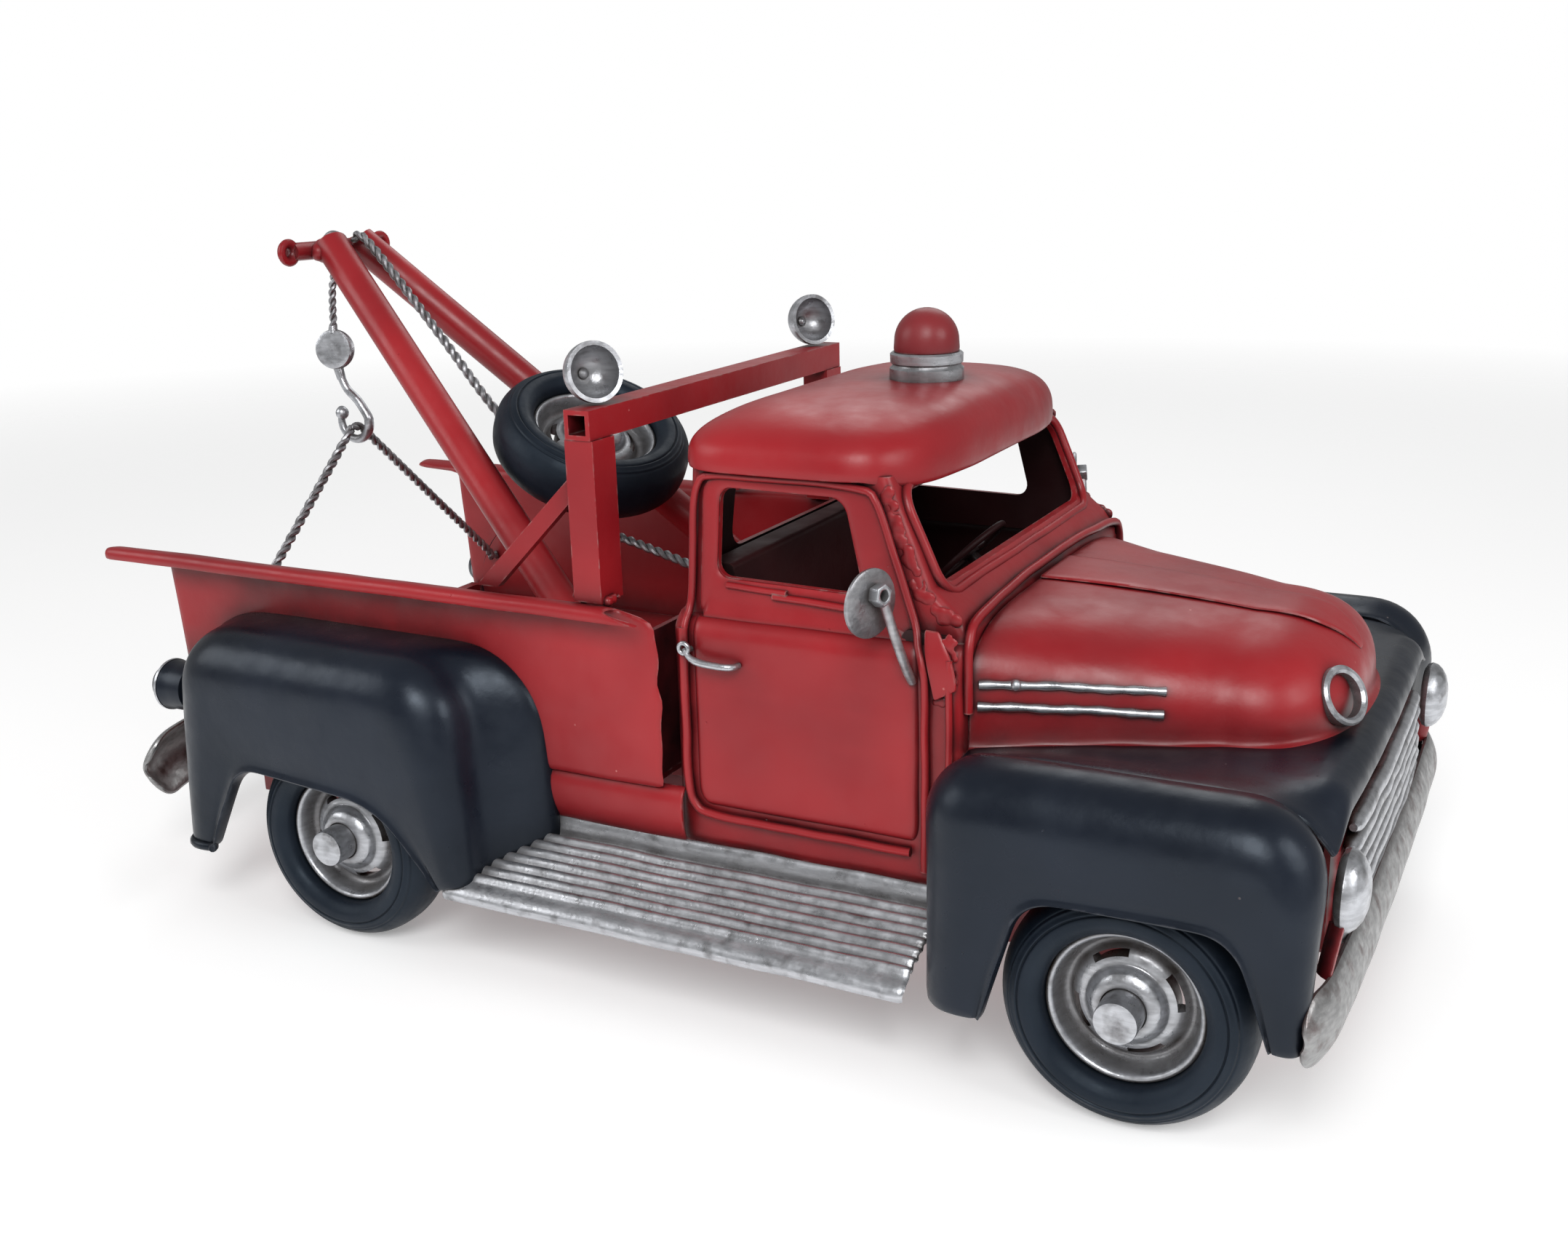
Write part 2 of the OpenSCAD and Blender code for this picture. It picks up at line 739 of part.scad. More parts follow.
module pulley_block() {
    color(silver) translate([-119.4, 0, 123.6]) {
        rotate([90, 0, 20]) cylinder(h = 3, r = 5, center = true);
        translate([0.4, 0, -4]) rod([0, 0, 0], [0.8, 0, -3.4], 1.2);
    }
}

// J-shaped hook with a ball at its tip; the sling hangs in its bowl
module tow_hook() {
    bowl_r = 4.6;
    centre = [sling_x, 0, hook_bottom_z + bowl_r];
    color(silver) {
        translate(centre) rotate([90, 0, 0]) rotate([0, 0, 160]) rotate_extrude(angle = 230)
            translate([bowl_r, 0]) circle(wire_r);
        rod(centre + bowl_r * [cos(30), 0, sin(30)], [-118.2, 0, 116.2], wire_r);
        translate(centre + bowl_r * [-1.04, 0, 0.5]) sphere(1.9);
    }
}

// One wire over the hook's bowl: two legs fall to the bed sides, where its ends turn out
// into the side sheets' bores
module sling_wire() {
    end_y = 50.5;
    color("#8a8680") wire([
        [sling_x, -bed_y + 0.1, sling_z], [sling_x, -end_y, sling_z],
        [sling_x, -3, sling_apex_z], [sling_x, 3, sling_apex_z],
        [sling_x, end_y, sling_z], [sling_x, bed_y - 0.1, sling_z]
    ], wire_r);
}

chassis_frame();
front_axle();
rear_axle();
front_tyre_right();
front_tyre_left();
rear_tyre_right();
rear_tyre_left();
front_rim_right();
front_rim_left();
rear_rim_right();
rear_rim_left();
spare_tyre();
spare_rim();
cab_shell();
cab_roof();
cab_beads();
door_right();
door_left();
door_handles();
mirror_arms();
mirror_discs();
mirror_nuts();
dashboard();
bench_seat();
steering_wheel();
hood_shell();
hood_centre_panel();
nose_badge();
hood_trims();
front_deck();
front_fender_right();
front_fender_left();
grille_panel();
grille_bars();
front_bumper();
headlights();
rear_fender_right();
rear_fender_left();
running_board_right();
running_board_left();
bed_floor();
bed_side_right();
bed_side_left();
bed_front_wall();
bed_rear_sill();
rear_bumper();
tail_lamps();
crane_posts();
crossbeam();
crane_braces();
boom_tubes();
boom_head();
boom_cable();
spotlights();
beacon_collar();
beacon_dome();
hanging_cable();
pulley_block();
tow_hook();
sling_wire();
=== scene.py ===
"""Looks of the toy tow truck: enamelled sheet metal, silvered fittings and twisted wire on the CAD frame.

All shapes are written in millimetres in the frame's axes: +X front, +Y left, Z = 0 the ground.
Shapes of a pair are drawn for the right (-Y) side and mirrored for the left.
"""
import json
import random
from math import acos, atan2, copysign, cos, pi, radians, sin, sqrt, tan

import bmesh
import bpy
import numpy as np
from mathutils import Matrix, Vector, noise


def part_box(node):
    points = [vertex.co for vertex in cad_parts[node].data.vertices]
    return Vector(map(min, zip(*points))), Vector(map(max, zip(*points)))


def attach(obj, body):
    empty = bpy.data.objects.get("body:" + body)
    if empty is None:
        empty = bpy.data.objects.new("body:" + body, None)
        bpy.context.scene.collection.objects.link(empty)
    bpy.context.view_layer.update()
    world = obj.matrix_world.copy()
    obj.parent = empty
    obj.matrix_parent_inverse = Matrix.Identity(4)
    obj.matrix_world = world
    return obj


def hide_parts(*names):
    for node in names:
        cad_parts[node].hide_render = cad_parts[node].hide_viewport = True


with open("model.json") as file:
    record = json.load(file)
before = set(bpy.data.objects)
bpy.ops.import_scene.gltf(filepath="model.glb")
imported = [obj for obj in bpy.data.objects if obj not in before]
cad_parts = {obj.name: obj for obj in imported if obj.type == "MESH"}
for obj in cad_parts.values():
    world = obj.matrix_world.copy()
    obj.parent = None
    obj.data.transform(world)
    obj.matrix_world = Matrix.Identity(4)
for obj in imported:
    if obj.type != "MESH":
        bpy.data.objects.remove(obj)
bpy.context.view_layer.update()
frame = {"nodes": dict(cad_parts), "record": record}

MM = 0.001
RIGHT, LEFT = -1, 1
# Blender's noise is offset by the clock until its seed is set.
noise.seed_set(7)
SHEET = 1.2
WIRE_R = 1.1
BEAD_R = 0.8
# Edges steeper than these angles, in degrees, are drawn sharp and take a bevel.
SHARP_ANGLE = 38
BEVEL_ANGLE = 35
# A direction that no wire runs along, from which a wire's first side is worked out.
ANY_SIDE = [0.31, 0.22, 0.92]


# ---------- frame measurements, in millimetres ----------

def low(node):
    return np.array(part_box(node)[0]) / MM


def high(node):
    return np.array(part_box(node)[1]) / MM


def centre(node):
    return (low(node) + high(node)) / 2


FRONT_AXLE = centre("front_axle")
REAR_AXLE = centre("rear_axle")
HUB_Y = high("front_axle")[1]
TYRE_R = high("front_tyre_left")[2] / 2
RIM_R = (high("front_rim_left") - low("front_rim_left"))[0] / 2
TRACK = centre("front_tyre_left")[1]
TYRE_W = (high("front_tyre_left") - low("front_tyre_left"))[1]
AXLE_R = (high("front_axle") - low("front_axle"))[0] / 2
FENDER_Y = high("front_fender_left")[1]
CAB_Y = high("cab_shell")[1]
CAB_REAR = low("cab_shell")[0]
COWL_X = high("cab_shell")[0]
SILL_Z = low("cab_shell")[2]
ROOF_Z = high("cab_shell")[2]
BED_REAR = low("bed_floor")[0]
BED_FRONT = high("bed_floor")[0]
RAIL_Z = high("bed_side_left")[2]
RAIL_Y = high("bed_side_left")[1]
RAIL_REAR = low("bed_side_left")[0]
BED_Y = high("bed_front_wall")[1] + SHEET
BELT_Z = 81
COWL_Z = 84


# ---------- geometry helpers ----------

def unit(v):
    return v / np.linalg.norm(v)


def corner(a, p, b, radius, steps):
    """Points of one rounded corner at p, between its neighbours a and b."""
    if radius == 0:
        return [p] * (steps + 1)
    u, v = unit(a - p), unit(b - p)
    half = acos(max(-1, min(1, u @ v))) / 2
    middle = p + unit(u + v) * radius / sin(half)
    start, end = (p + w * radius / tan(half) - middle for w in (u, v))
    angle = atan2(start[1], start[0])
    sweep = (atan2(end[1], end[0]) - angle + 3 * pi) % (2 * pi) - pi
    turns = [angle + sweep * i / steps for i in range(steps + 1)]
    return [middle + radius * np.array([cos(t), sin(t)]) for t in turns]


def outline(keys, closed=False, steps=6, run=8):
    """Evenly filled 2-D path through (a, b, radius) keys. Equal key counts give equal point counts."""
    pts = [np.array(k[:2], float) for k in keys]
    count = len(pts)
    arcs = []
    for i, key in enumerate(keys):
        if not closed and i in (0, count - 1):
            arcs.append([pts[i]])
            continue
        arcs.append(corner(pts[i - 1], pts[i], pts[(i + 1) % count], key[2], steps))
    path = []
    for i, arc in enumerate(arcs):
        path += arc
        if closed or i < count - 1:
            start, end = arc[-1], arcs[(i + 1) % count][0]
            path += [start + (end - start) * j / run for j in range(1, run)]
    return np.array(path)


def normals_2d(path):
    """Left-hand normals of an open 2-D path."""
    step = np.gradient(path, axis=0)
    normal = np.stack([-step[:, 1], step[:, 0]], axis=1)
    return normal / np.maximum(np.linalg.norm(normal, axis=1, keepdims=True), 1e-9)


def spline(points, step=1.5):
    """Smooth 3-D path through points, sampled about every step."""
    pts = [np.array(p, float) for p in points]
    pts = [2 * pts[0] - pts[1]] + pts + [2 * pts[-1] - pts[-2]]
    path = []
    for a, b, c, d in zip(pts, pts[1:], pts[2:], pts[3:]):
        count = max(2, int(np.linalg.norm(c - b) / step))
        for t in np.arange(count) / count:
            path.append(0.5 * (2 * b + (c - a) * t + (2 * a - 5 * b + 4 * c - d) * t * t
                               + (3 * b - a - 3 * c + d) * t ** 3))
    return np.array(path + [pts[-2]])


def wobble(points, amount, size, seed):
    """Moves points by smooth noise of a feature size, for hand-formed sheet and wire."""
    shift = Vector((seed * 17.3, seed * 5.1, seed * 9.7))
    return [np.array(p) + amount * np.array(noise.noise_vector(Vector(p) / size + shift)) for p in points]


def grid_faces(rows, columns, close_rows=False, close_columns=False):
    faces = []
    for i in range(rows - (not close_rows)):
        for j in range(columns - (not close_columns)):
            k, m = (i + 1) % rows, (j + 1) % columns
            faces.append((i * columns + j, k * columns + j, k * columns + m, i * columns + m))
    return faces


def new_object(name, points, faces, material):
    mesh = bpy.data.meshes.new(name)
    mesh.from_pydata([Vector(p) * MM for p in points], [], faces)
    bm = bmesh.new()
    bm.from_mesh(mesh)
    bmesh.ops.remove_doubles(bm, verts=bm.verts, dist=1e-6)
    bmesh.ops.recalc_face_normals(bm, faces=bm.faces)
    bm.to_mesh(mesh)
    bm.free()
    mesh.materials.append(material)
    obj = bpy.data.objects.new(name, mesh)
    bpy.context.scene.collection.objects.link(obj)
    smooth(obj)
    return obj


def smooth(obj):
    """Smooth shading that keeps the steep edges sharp."""
    obj.data.shade_smooth()
    obj.data.set_sharp_from_angle(angle=radians(SHARP_ANGLE))


def bake(obj):
    """Replaces the mesh by its modified mesh and drops the modifiers."""
    graph = bpy.context.evaluated_depsgraph_get()
    mesh = bpy.data.meshes.new_from_object(obj.evaluated_get(graph), depsgraph=graph)
    obj.modifiers.clear()
    obj.data = mesh
    smooth(obj)
    return obj


def mirrored(obj, name):
    """A copy on the other side of the truck's middle plane."""
    copy = obj.copy()
    copy.data = obj.data.copy()
    copy.name = copy.data.name = name
    copy.data.transform(Matrix.Diagonal((1, -1, 1, 1)))
    copy.data.flip_normals()
    bpy.context.scene.collection.objects.link(copy)
    return copy


def join(name, objects):
    """One mesh object from several."""
    bm = bmesh.new()
    for obj in objects:
        bm.from_mesh(obj.data)
    mesh = bpy.data.meshes.new(name)
    bm.to_mesh(mesh)
    bm.free()
    mesh.materials.append(objects[0].data.materials[0])
    for obj in objects:
        bpy.data.objects.remove(obj)
    joined = bpy.data.objects.new(name, mesh)
    bpy.context.scene.collection.objects.link(joined)
    smooth(joined)
    return joined


def piece(obj, *nodes, body="truck"):
    """Puts a finished mesh under its body's empty and hides the CAD nodes it stands for."""
    # Blender adds a number to a name that a material of the frame already has.
    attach(obj, body)
    if nodes:
        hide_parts(*nodes)


def pair(obj, *nodes):
    """Registers a right-hand piece and its mirror image, which stands for the left-hand nodes."""
    twin = mirrored(obj, obj.name.replace("right", "left"))
    piece(obj, *nodes)
    piece(twin, *[node.replace("right", "left") for node in nodes if "right" in node])


def sheet(name, rows, material, thickness=SHEET, close=False, levels=1, amount=0.12, seed=1, lining=None):
    """Thin closed sheet grown inwards from a grid of surface points. A lining colours its inner face."""
    points = wobble([p for row in rows for p in row], amount, 14, seed)
    faces = grid_faces(len(rows), len(rows[0]), close_rows=close)
    obj = new_object(name, points, faces, material)
    solid = obj.modifiers.new("thickness", "SOLIDIFY")
    solid.thickness = thickness * MM
    solid.offset = -1
    solid.use_even_offset = True
    if lining:
        obj.data.materials.append(lining)
        solid.material_offset = 1
    if levels:
        sub = obj.modifiers.new("soft_edges", "SUBSURF")
        sub.levels = sub.render_levels = levels
    return bake(obj)


def tube(name, path, radius, material, sides=12, flatten=1.0, closed=False, amount=0.0, seed=1):
    """Closed round rod along a 3-D path. Radius is a number or one number per path point."""
    path = np.array(wobble(path, amount, 9, seed)) if amount else np.array(path, float)
    count = len(path)
    radii = np.broadcast_to(radius, count)
    if closed:
        tangent = np.roll(path, -1, axis=0) - np.roll(path, 1, axis=0)
    else:
        tangent = np.gradient(path, axis=0)
    tangent = tangent / np.linalg.norm(tangent, axis=1, keepdims=True)
    side = unit(np.cross(tangent[0], ANY_SIDE))
    points = []
    for p, t, r in zip(path, tangent, radii):
        side = unit(side - t * (side @ t))
        up = np.cross(t, side)
        turns = [2 * pi * i / sides for i in range(sides)]
        points += [p + r * (side * cos(a) + flatten * up * sin(a)) for a in turns]
    faces = grid_faces(count, sides, close_rows=closed, close_columns=True)
    if not closed:
        faces += [tuple(range(sides)), tuple(range((count - 1) * sides, count * sides))]
    return new_object(name, points, faces, material)


def lathe(name, profile, place, material, sides=96, closed=True):
    """Solid of revolution of an (r, z) profile about Z, put in place by a 4x4 matrix in millimetres."""
    points = []
    for i in range(sides):
        a = 2 * pi * i / sides
        points += [place @ Vector((r * cos(a), r * sin(a), z)) for r, z in profile]
    faces = grid_faces(sides, len(profile), close_rows=True, close_columns=closed)
    return new_object(name, points, faces, material)


def prism(name, path, place, depth, material):
    """Closed 2-D path extruded along local Z from 0 to depth."""
    count = len(path)
    points = [place @ Vector((x, y, z)) for z in (0, depth) for x, y in path]
    faces = grid_faces(2, count, close_columns=True)
    faces += [tuple(range(count)), tuple(range(count, 2 * count))]
    return new_object(name, points, faces, material)


def cut(obj, *cutters):
    """Subtracts the cutters, which are then removed."""
    for cutter in cutters:
        mod = obj.modifiers.new("cut", "BOOLEAN")
        mod.object = cutter
        mod.solver = "EXACT"
    bpy.context.view_layer.update()
    bake(obj)
    for cutter in cutters:
        bpy.data.objects.remove(cutter)
    return obj


def bevel(obj, width):
    """Rounds the edges that are steeper than the bevel angle."""
    mod = obj.modifiers.new("worn_edges", "BEVEL")
    mod.width = width * MM
    mod.segments = 2
    mod.limit_method = "ANGLE"
    mod.angle_limit = radians(BEVEL_ANGLE)


def blob(name, balls, material, voxel=0.35, flat=(1, 1, 1)):
    """Solder lump: overlapping balls (x, y, z, r), flattened along the axes, fused into one skin."""
    parts = []
    for i, (x, y, z, r) in enumerate(balls):
        profile = [(r * sin(pi * k / 10), -r * cos(pi * k / 10)) for k in range(11)]
        place = Matrix.Translation((x, y, z)) @ Matrix.Diagonal((*flat, 1))
        parts.append(lathe(f"{name}_{i}", profile, place, material, 16, closed=False))
    obj = join(name, parts)
    skin = obj.modifiers.new("skin", "REMESH")
    skin.mode = "VOXEL"
    skin.voxel_size = voxel * MM
    soften = obj.modifiers.new("soften", "SMOOTH")
    soften.iterations = 6
    return bake(obj)


def axis_frame(origin, direction, roll=0.0):
    """4x4 matrix whose local Z runs along direction from origin."""
    turn = Vector(direction).to_track_quat("Z", "Y").to_matrix().to_4x4()
    return Matrix.Translation(Vector(origin)) @ turn @ Matrix.Rotation(roll, 4, "Z")


# ---------- materials ----------

class Shader:
    """Builds one principled material from small named steps."""

    def __init__(self, name):
        self.material = bpy.data.materials.new(name)
        self.material.use_nodes = True
        self.tree = self.material.node_tree
        self.tree.nodes.clear()
        self.surface = self.node("ShaderNodeBsdfPrincipled")
        output = self.node("ShaderNodeOutputMaterial")
        self.tree.links.new(self.surface.outputs[0], output.inputs["Surface"])
        self.place = self.node("ShaderNodeTexCoord").outputs["Object"]

    def node(self, kind, **settings):
        made = self.tree.nodes.new(kind)
        for key, value in settings.items():
            setattr(made, key, value)
        return made

    def feed(self, socket, value):
        if isinstance(value, bpy.types.NodeSocket):
            self.tree.links.new(value, socket)
        elif isinstance(value, tuple) and len(value) == 3 and socket.type == "RGBA":
            socket.default_value = (*value, 1)
        else:
            socket.default_value = value

    def noise(self, size, detail=3, stretch=(1, 1, 1)):
        """Smooth noise with features of a size in millimetres."""
        mapping = self.node("ShaderNodeMapping")
        self.feed(mapping.inputs["Vector"], self.place)
        mapping.inputs["Scale"].default_value = [1 / (size * MM * s) for s in stretch]
        made = self.node("ShaderNodeTexNoise")
        self.feed(made.inputs["Vector"], mapping.outputs[0])
        made.inputs["Scale"].default_value = 1
        made.inputs["Detail"].default_value = detail
        return made.outputs["Fac"]

    def spots(self, spacing, radius):
        """1 inside small scattered dots of a radius, both in millimetres."""
        cells = self.node("ShaderNodeTexVoronoi")
        self.feed(cells.inputs["Vector"], self.place)
        cells.inputs["Scale"].default_value = 1 / (spacing * MM)
        return self.ramp(cells.outputs["Distance"], radius / spacing, radius / spacing * 0.5)

    def ramp(self, value, start, end, low=0.0, high=1.0):
        made = self.node("ShaderNodeMapRange", clamp=True)
        for key, number in (("From Min", start), ("From Max", end), ("To Min", low), ("To Max", high)):
            made.inputs[key].default_value = number
        self.feed(made.inputs["Value"], value)
        return made.outputs[0]

    def math(self, operation, a, b):
        made = self.node("ShaderNodeMath", operation=operation)
        self.feed(made.inputs[0], a)
        self.feed(made.inputs[1], b)
        return made.outputs[0]

    def mix(self, factor, a, b):
        made = self.node("ShaderNodeMix", data_type="RGBA")
        self.feed(made.inputs[0], factor)
        self.feed(made.inputs[6], a)
        self.feed(made.inputs[7], b)
        return made.outputs[2]

    def recess(self, distance):
        """1 deep in seams and corners, 0 on open surface."""
        made = self.node("ShaderNodeAmbientOcclusion", samples=6)
        made.inputs["Distance"].default_value = distance * MM
        return self.ramp(made.outputs["AO"], 1.0, 0.42)

    def groove(self):
        """1 in narrow grooves, 0 on flat or raised surface."""
        shape = self.node("ShaderNodeNewGeometry")
        return self.ramp(shape.outputs["Pointiness"], 0.49, 0.44)

    def edge(self, radius):
        """1 on edges and creases, 0 on open surface."""
        rounded = self.node("ShaderNodeBevel", samples=4)
        rounded.inputs["Radius"].default_value = radius * MM
        true = self.node("ShaderNodeNewGeometry")
        dot = self.node("ShaderNodeVectorMath", operation="DOT_PRODUCT")
        self.feed(dot.inputs[0], rounded.outputs[0])
        self.feed(dot.inputs[1], true.outputs["Normal"])
        return self.ramp(dot.outputs["Value"], 0.985, 0.85)

    def bump(self, layers):
        """Stacks (height, depth in millimetres) layers."""
        normal = None
        for height, depth in layers:
            made = self.node("ShaderNodeBump")
            made.inputs["Distance"].default_value = depth * MM
            self.feed(made.inputs["Height"], height)
            if normal:
                self.feed(made.inputs["Normal"], normal)
            normal = made.outputs[0]
        self.feed(self.surface.inputs["Normal"], normal)

    def finish(self, colour, roughness, metallic=0.0, coat=0.0, gleam=0.5, tint=(1, 1, 1)):
        self.feed(self.surface.inputs["Base Color"], colour)
        self.feed(self.surface.inputs["Roughness"], roughness)
        self.feed(self.surface.inputs["Metallic"], metallic)
        self.feed(self.surface.inputs["Coat Weight"], coat)
        self.surface.inputs["Specular IOR Level"].default_value = gleam
        self.feed(self.surface.inputs["Specular Tint"], tint)
        self.surface.inputs["Coat Roughness"].default_value = 0.3
        return self.material


def enamel(name, dark, light, grime_and_shade, worn, gloss, wear, speck, gleam=0.4, tint=(1, 1, 1)):
    """Hand-brushed satin paint with worn, chipped edges, and grime and painted shade darkening its seams
    and recesses.
    """
    s = Shader(name)
    patch = s.noise(38, 2)
    streak = s.noise(5, 4, stretch=(6, 2.5, 1))
    colour = s.mix(s.ramp(patch, 0.35, 0.65), dark, light)
    colour = s.mix(s.ramp(streak, 0.55, 0.8, 0, 0.25), colour, light)
    fine = s.noise(1.6, 5)
    # Painted shade mixed with grime: ambient occlusion darkens seams, creases and corners towards the seam
    # colour, broken up by noise.
    shade_and_dirt = s.math("MULTIPLY", s.recess(9), s.ramp(s.noise(9, 4), 0.25, 0.65, 0.65, 1.0))
    colour = s.mix(shade_and_dirt, colour, grime_and_shade)
    chip = s.math("MULTIPLY", s.edge(0.55), s.ramp(s.noise(3.2, 5), 0.5, 0.62, 0, wear))
    colour = s.mix(chip, colour, worn)
    dots = s.math("MULTIPLY", s.spots(8.5, 0.3), s.ramp(s.noise(14, 2), 0.5, 0.6))
    colour = s.mix(dots, colour, speck)
    roughness = s.ramp(s.noise(6, 5), 0.3, 0.7, gloss - 0.05, gloss + 0.12)
    pits = s.math("MULTIPLY", s.spots(6.3, 0.25), s.ramp(s.noise(17, 2), 0.52, 0.6))
    s.bump([(s.noise(11, 2), 0.18), (fine, 0.035), (streak, 0.03), (pits, -0.12), (chip, -0.05)])
    return s.finish(colour, roughness, coat=0.05, gleam=gleam, tint=tint)


def plated(name, bright, patina, gloss, stain):
    """Brushed silver leaf over metal, with brown-black patina in its recesses."""
    s = Shader(name)
    cloud = s.noise(7, 6)
    hollow = s.math("MAXIMUM", s.recess(6), s.groove())
    deep = s.math("MULTIPLY", hollow, s.ramp(cloud, 0.2, 0.6, 0.6, 1.0))
    blotch = s.ramp(s.noise(4, 6), 0.52, 0.72, 0, stain)
    brushed = s.noise(0.9, 4, stretch=(9, 3, 1))
    colour = s.mix(s.ramp(brushed, 0.35, 0.7), tuple(0.72 * c for c in bright), bright)
    colour = s.mix(s.math("MAXIMUM", deep, blotch), colour, patina)
    roughness = s.ramp(s.noise(2.5, 5), 0.3, 0.7, gloss - 0.06, gloss + 0.16)
    metallic = s.ramp(deep, 0.2, 0.9, 0.92, 0.35)
    s.bump([(s.noise(4, 3), 0.12), (s.noise(0.8, 4), 0.05), (brushed, 0.03)])
    return s.finish(colour, roughness, metallic)


def rubber(name, dark, light):
    """Painted tyre: satin, faintly mottled, lighter where it is rubbed, with painted shade darkening its
    recesses.
    """
    s = Shader(name)
    colour = s.mix(s.ramp(s.noise(12, 4), 0.35, 0.7), dark, light)
    dust = s.math("MULTIPLY", s.edge(0.4), s.ramp(s.noise(4, 4), 0.5, 0.65, 0, 0.5))
    colour = s.mix(dust, colour, tuple(3 * c for c in light))
    # Painted shade: ambient occlusion darkens the tyre in its grooves and recesses.
    colour = s.mix(s.recess(4), colour, tuple(0.35 * c for c in dark))
    roughness = s.ramp(s.noise(3, 4), 0.3, 0.7, 0.42, 0.58)
    s.bump([(s.noise(9, 2), 0.15), (s.noise(0.9, 4), 0.04)])
    return s.finish(colour, roughness, gleam=0.3, tint=(0.7, 0.85, 1.0))


# The third colour of each enamel is its seam colour: grime together with painted shade in seams and
# recesses.
RED = enamel("red_enamel", (0.250, 0.0075, 0.0120), (0.355, 0.0135, 0.0185), (0.022, 0.005, 0.006),
             (0.30, 0.20, 0.19), 0.34, 0.7, (0.5, 0.16, 0.15))
DEEP_RED = enamel("beacon_enamel", (0.155, 0.012, 0.017), (0.23, 0.020, 0.024), (0.020, 0.005, 0.006),
                  (0.30, 0.16, 0.15), 0.36, 0.5, (0.4, 0.12, 0.12))
BLACK = enamel("black_enamel", (0.0035, 0.0050, 0.0095), (0.0085, 0.0115, 0.0200), (0.0012, 0.0016, 0.0025),
               (0.16, 0.16, 0.18), 0.30, 0.4, (0.35, 0.28, 0.26), gleam=0.34, tint=(0.74, 0.86, 1.0))
SILVER = plated("antique_silver", (0.63, 0.645, 0.68), (0.035, 0.026, 0.021), 0.29, 0.6)
BUMPER = plated("worn_bumper", (0.38, 0.38, 0.38), (0.075, 0.030, 0.026), 0.34, 0.75)
STEEL_BRIGHT = plated("scratched_steel", (0.44, 0.44, 0.46), (0.06, 0.05, 0.045), 0.34, 0.35)
WORN_ARM = plated("worn_arm", (0.50, 0.50, 0.52), (0.20, 0.02, 0.02), 0.36, 0.5)
WIRE = plated("twisted_wire", (0.42, 0.42, 0.44), (0.05, 0.042, 0.036), 0.38, 0.4)
TYRE = rubber("tyre", (0.0050, 0.0080, 0.0140), (0.0110, 0.0155, 0.0240))
# Dark red that paints the shade inside the cab: it lines the cab's walls and roof, and it finishes the dark
# interior parts.
INTERIOR_SHADE = enamel("dark_interior", (0.024, 0.005, 0.006), (0.045, 0.009, 0.010), (0.006, 0.002, 0.002),
                  (0.10, 0.04, 0.035), 0.5, 0.3, (0.08, 0.02, 0.02), gleam=0.25)
# Finishes that belong to another material slot of the record.
FINISH = {"red_enamel": RED, "black_enamel": BLACK, "antique_silver": SILVER, "dark_metal": DEEP_RED,
          "twisted_wire": WIRE, "tyre": TYRE, "dark_interior": INTERIOR_SHADE}


# ---------- wheels ----------

def tyre_profile():
    """Smooth tread with two raised rings moulded on each sidewall."""
    half = TYRE_W / 2
    seat = 5.4
    wall = [(RIM_R, seat), (RIM_R + 0.9, half - 0.9), (RIM_R + 2.2, half), (RIM_R + 4.0, half + 0.0),
            (RIM_R + 4.3, half - 0.45), (RIM_R + 4.6, half - 0.05), (RIM_R + 5.4, half - 0.55),
            (RIM_R + 5.9, half - 0.65), (RIM_R + 6.1, half - 1.15), (RIM_R + 6.5, half - 1.2),
            (TYRE_R - 1.2, half - 2.4), (TYRE_R - 0.35, half - 4.0), (TYRE_R, half - 6.0)]
    return wall + [(r, -z) for r, z in reversed(wall)]


def rim_profile():
    """Rolled lip, deep well, dished disc, stepped boss and a bore for the axle."""
    front = [(RIM_R, 1.0), (RIM_R + 0.15, 3.2), (RIM_R - 0.15, 3.9), (RIM_R - 0.75, 4.1),
             (RIM_R - 1.3, 3.6), (RIM_R - 1.7, 2.0), (RIM_R - 2.2, 0.3), (RIM_R - 3.1, -0.5),
             (RIM_R - 3.9, -0.2), (RIM_R - 4.5, 0.9), (RIM_R - 5.3, 1.7), (RIM_R - 6.4, 2.1),
             (RIM_R - 7.2, 2.2), (RIM_R - 7.5, 2.9), (RIM_R - 8.1, 4.0), (RIM_R - 9.2, 4.8),
             (AXLE_R + 0.3, 5.1), (AXLE_R, 4.6)]
    return front + [(AXLE_R, -1.4), (RIM_R - 1.0, -1.6), (RIM_R - 1.0, -5.0), (RIM_R, -5.0)]


def soften(profile, levels=2):
    """Rounds a closed 2-D profile by corner cutting."""
    pts = [np.array(p, float) for p in profile]
    for _ in range(levels):
        nxt = pts[1:] + pts[:1]
        pts = [q for a, b in zip(pts, nxt) for q in (0.8 * a + 0.2 * b, 0.2 * a + 0.8 * b)]
    return pts


def slot_cutters(place):
    """Four arc slots near the edge of the rim's disc."""
    inner, outer, half_angle = RIM_R - 5.8, RIM_R - 4.6, radians(21)
    cutters = []
    for k in range(4):
        middle = radians(45 + 90 * k)
        angles = np.linspace(middle - half_angle, middle + half_angle, 9)
        path = [(outer * cos(a), outer * sin(a)) for a in angles]
        path += [(inner * cos(a), inner * sin(a)) for a in angles[::-1]]
        cutters.append(prism(f"slot_{k}", path, place @ Matrix.Translation((0, 0, -3)), 8, SILVER))
    return cutters


def wheel(name, place, body):
    tyre = lathe(f"{name}_tyre_skin", soften(tyre_profile()), place, TYRE, 128)
    piece(tyre, wheel_node(name, "tyre"), body=body)
    rim = lathe(f"{name}_rim_dish", soften(rim_profile(), 1), place, SILVER, 96)
    cut(rim, *slot_cutters(place))
    piece(rim, wheel_node(name, "rim"), body=body)


def wheel_node(name, kind):
    """CAD node of a wheel's part: front_right has front_tyre_right, and spare has spare_tyre."""
    end, *side = name.split("_")
    return "_".join([end, kind, *side])


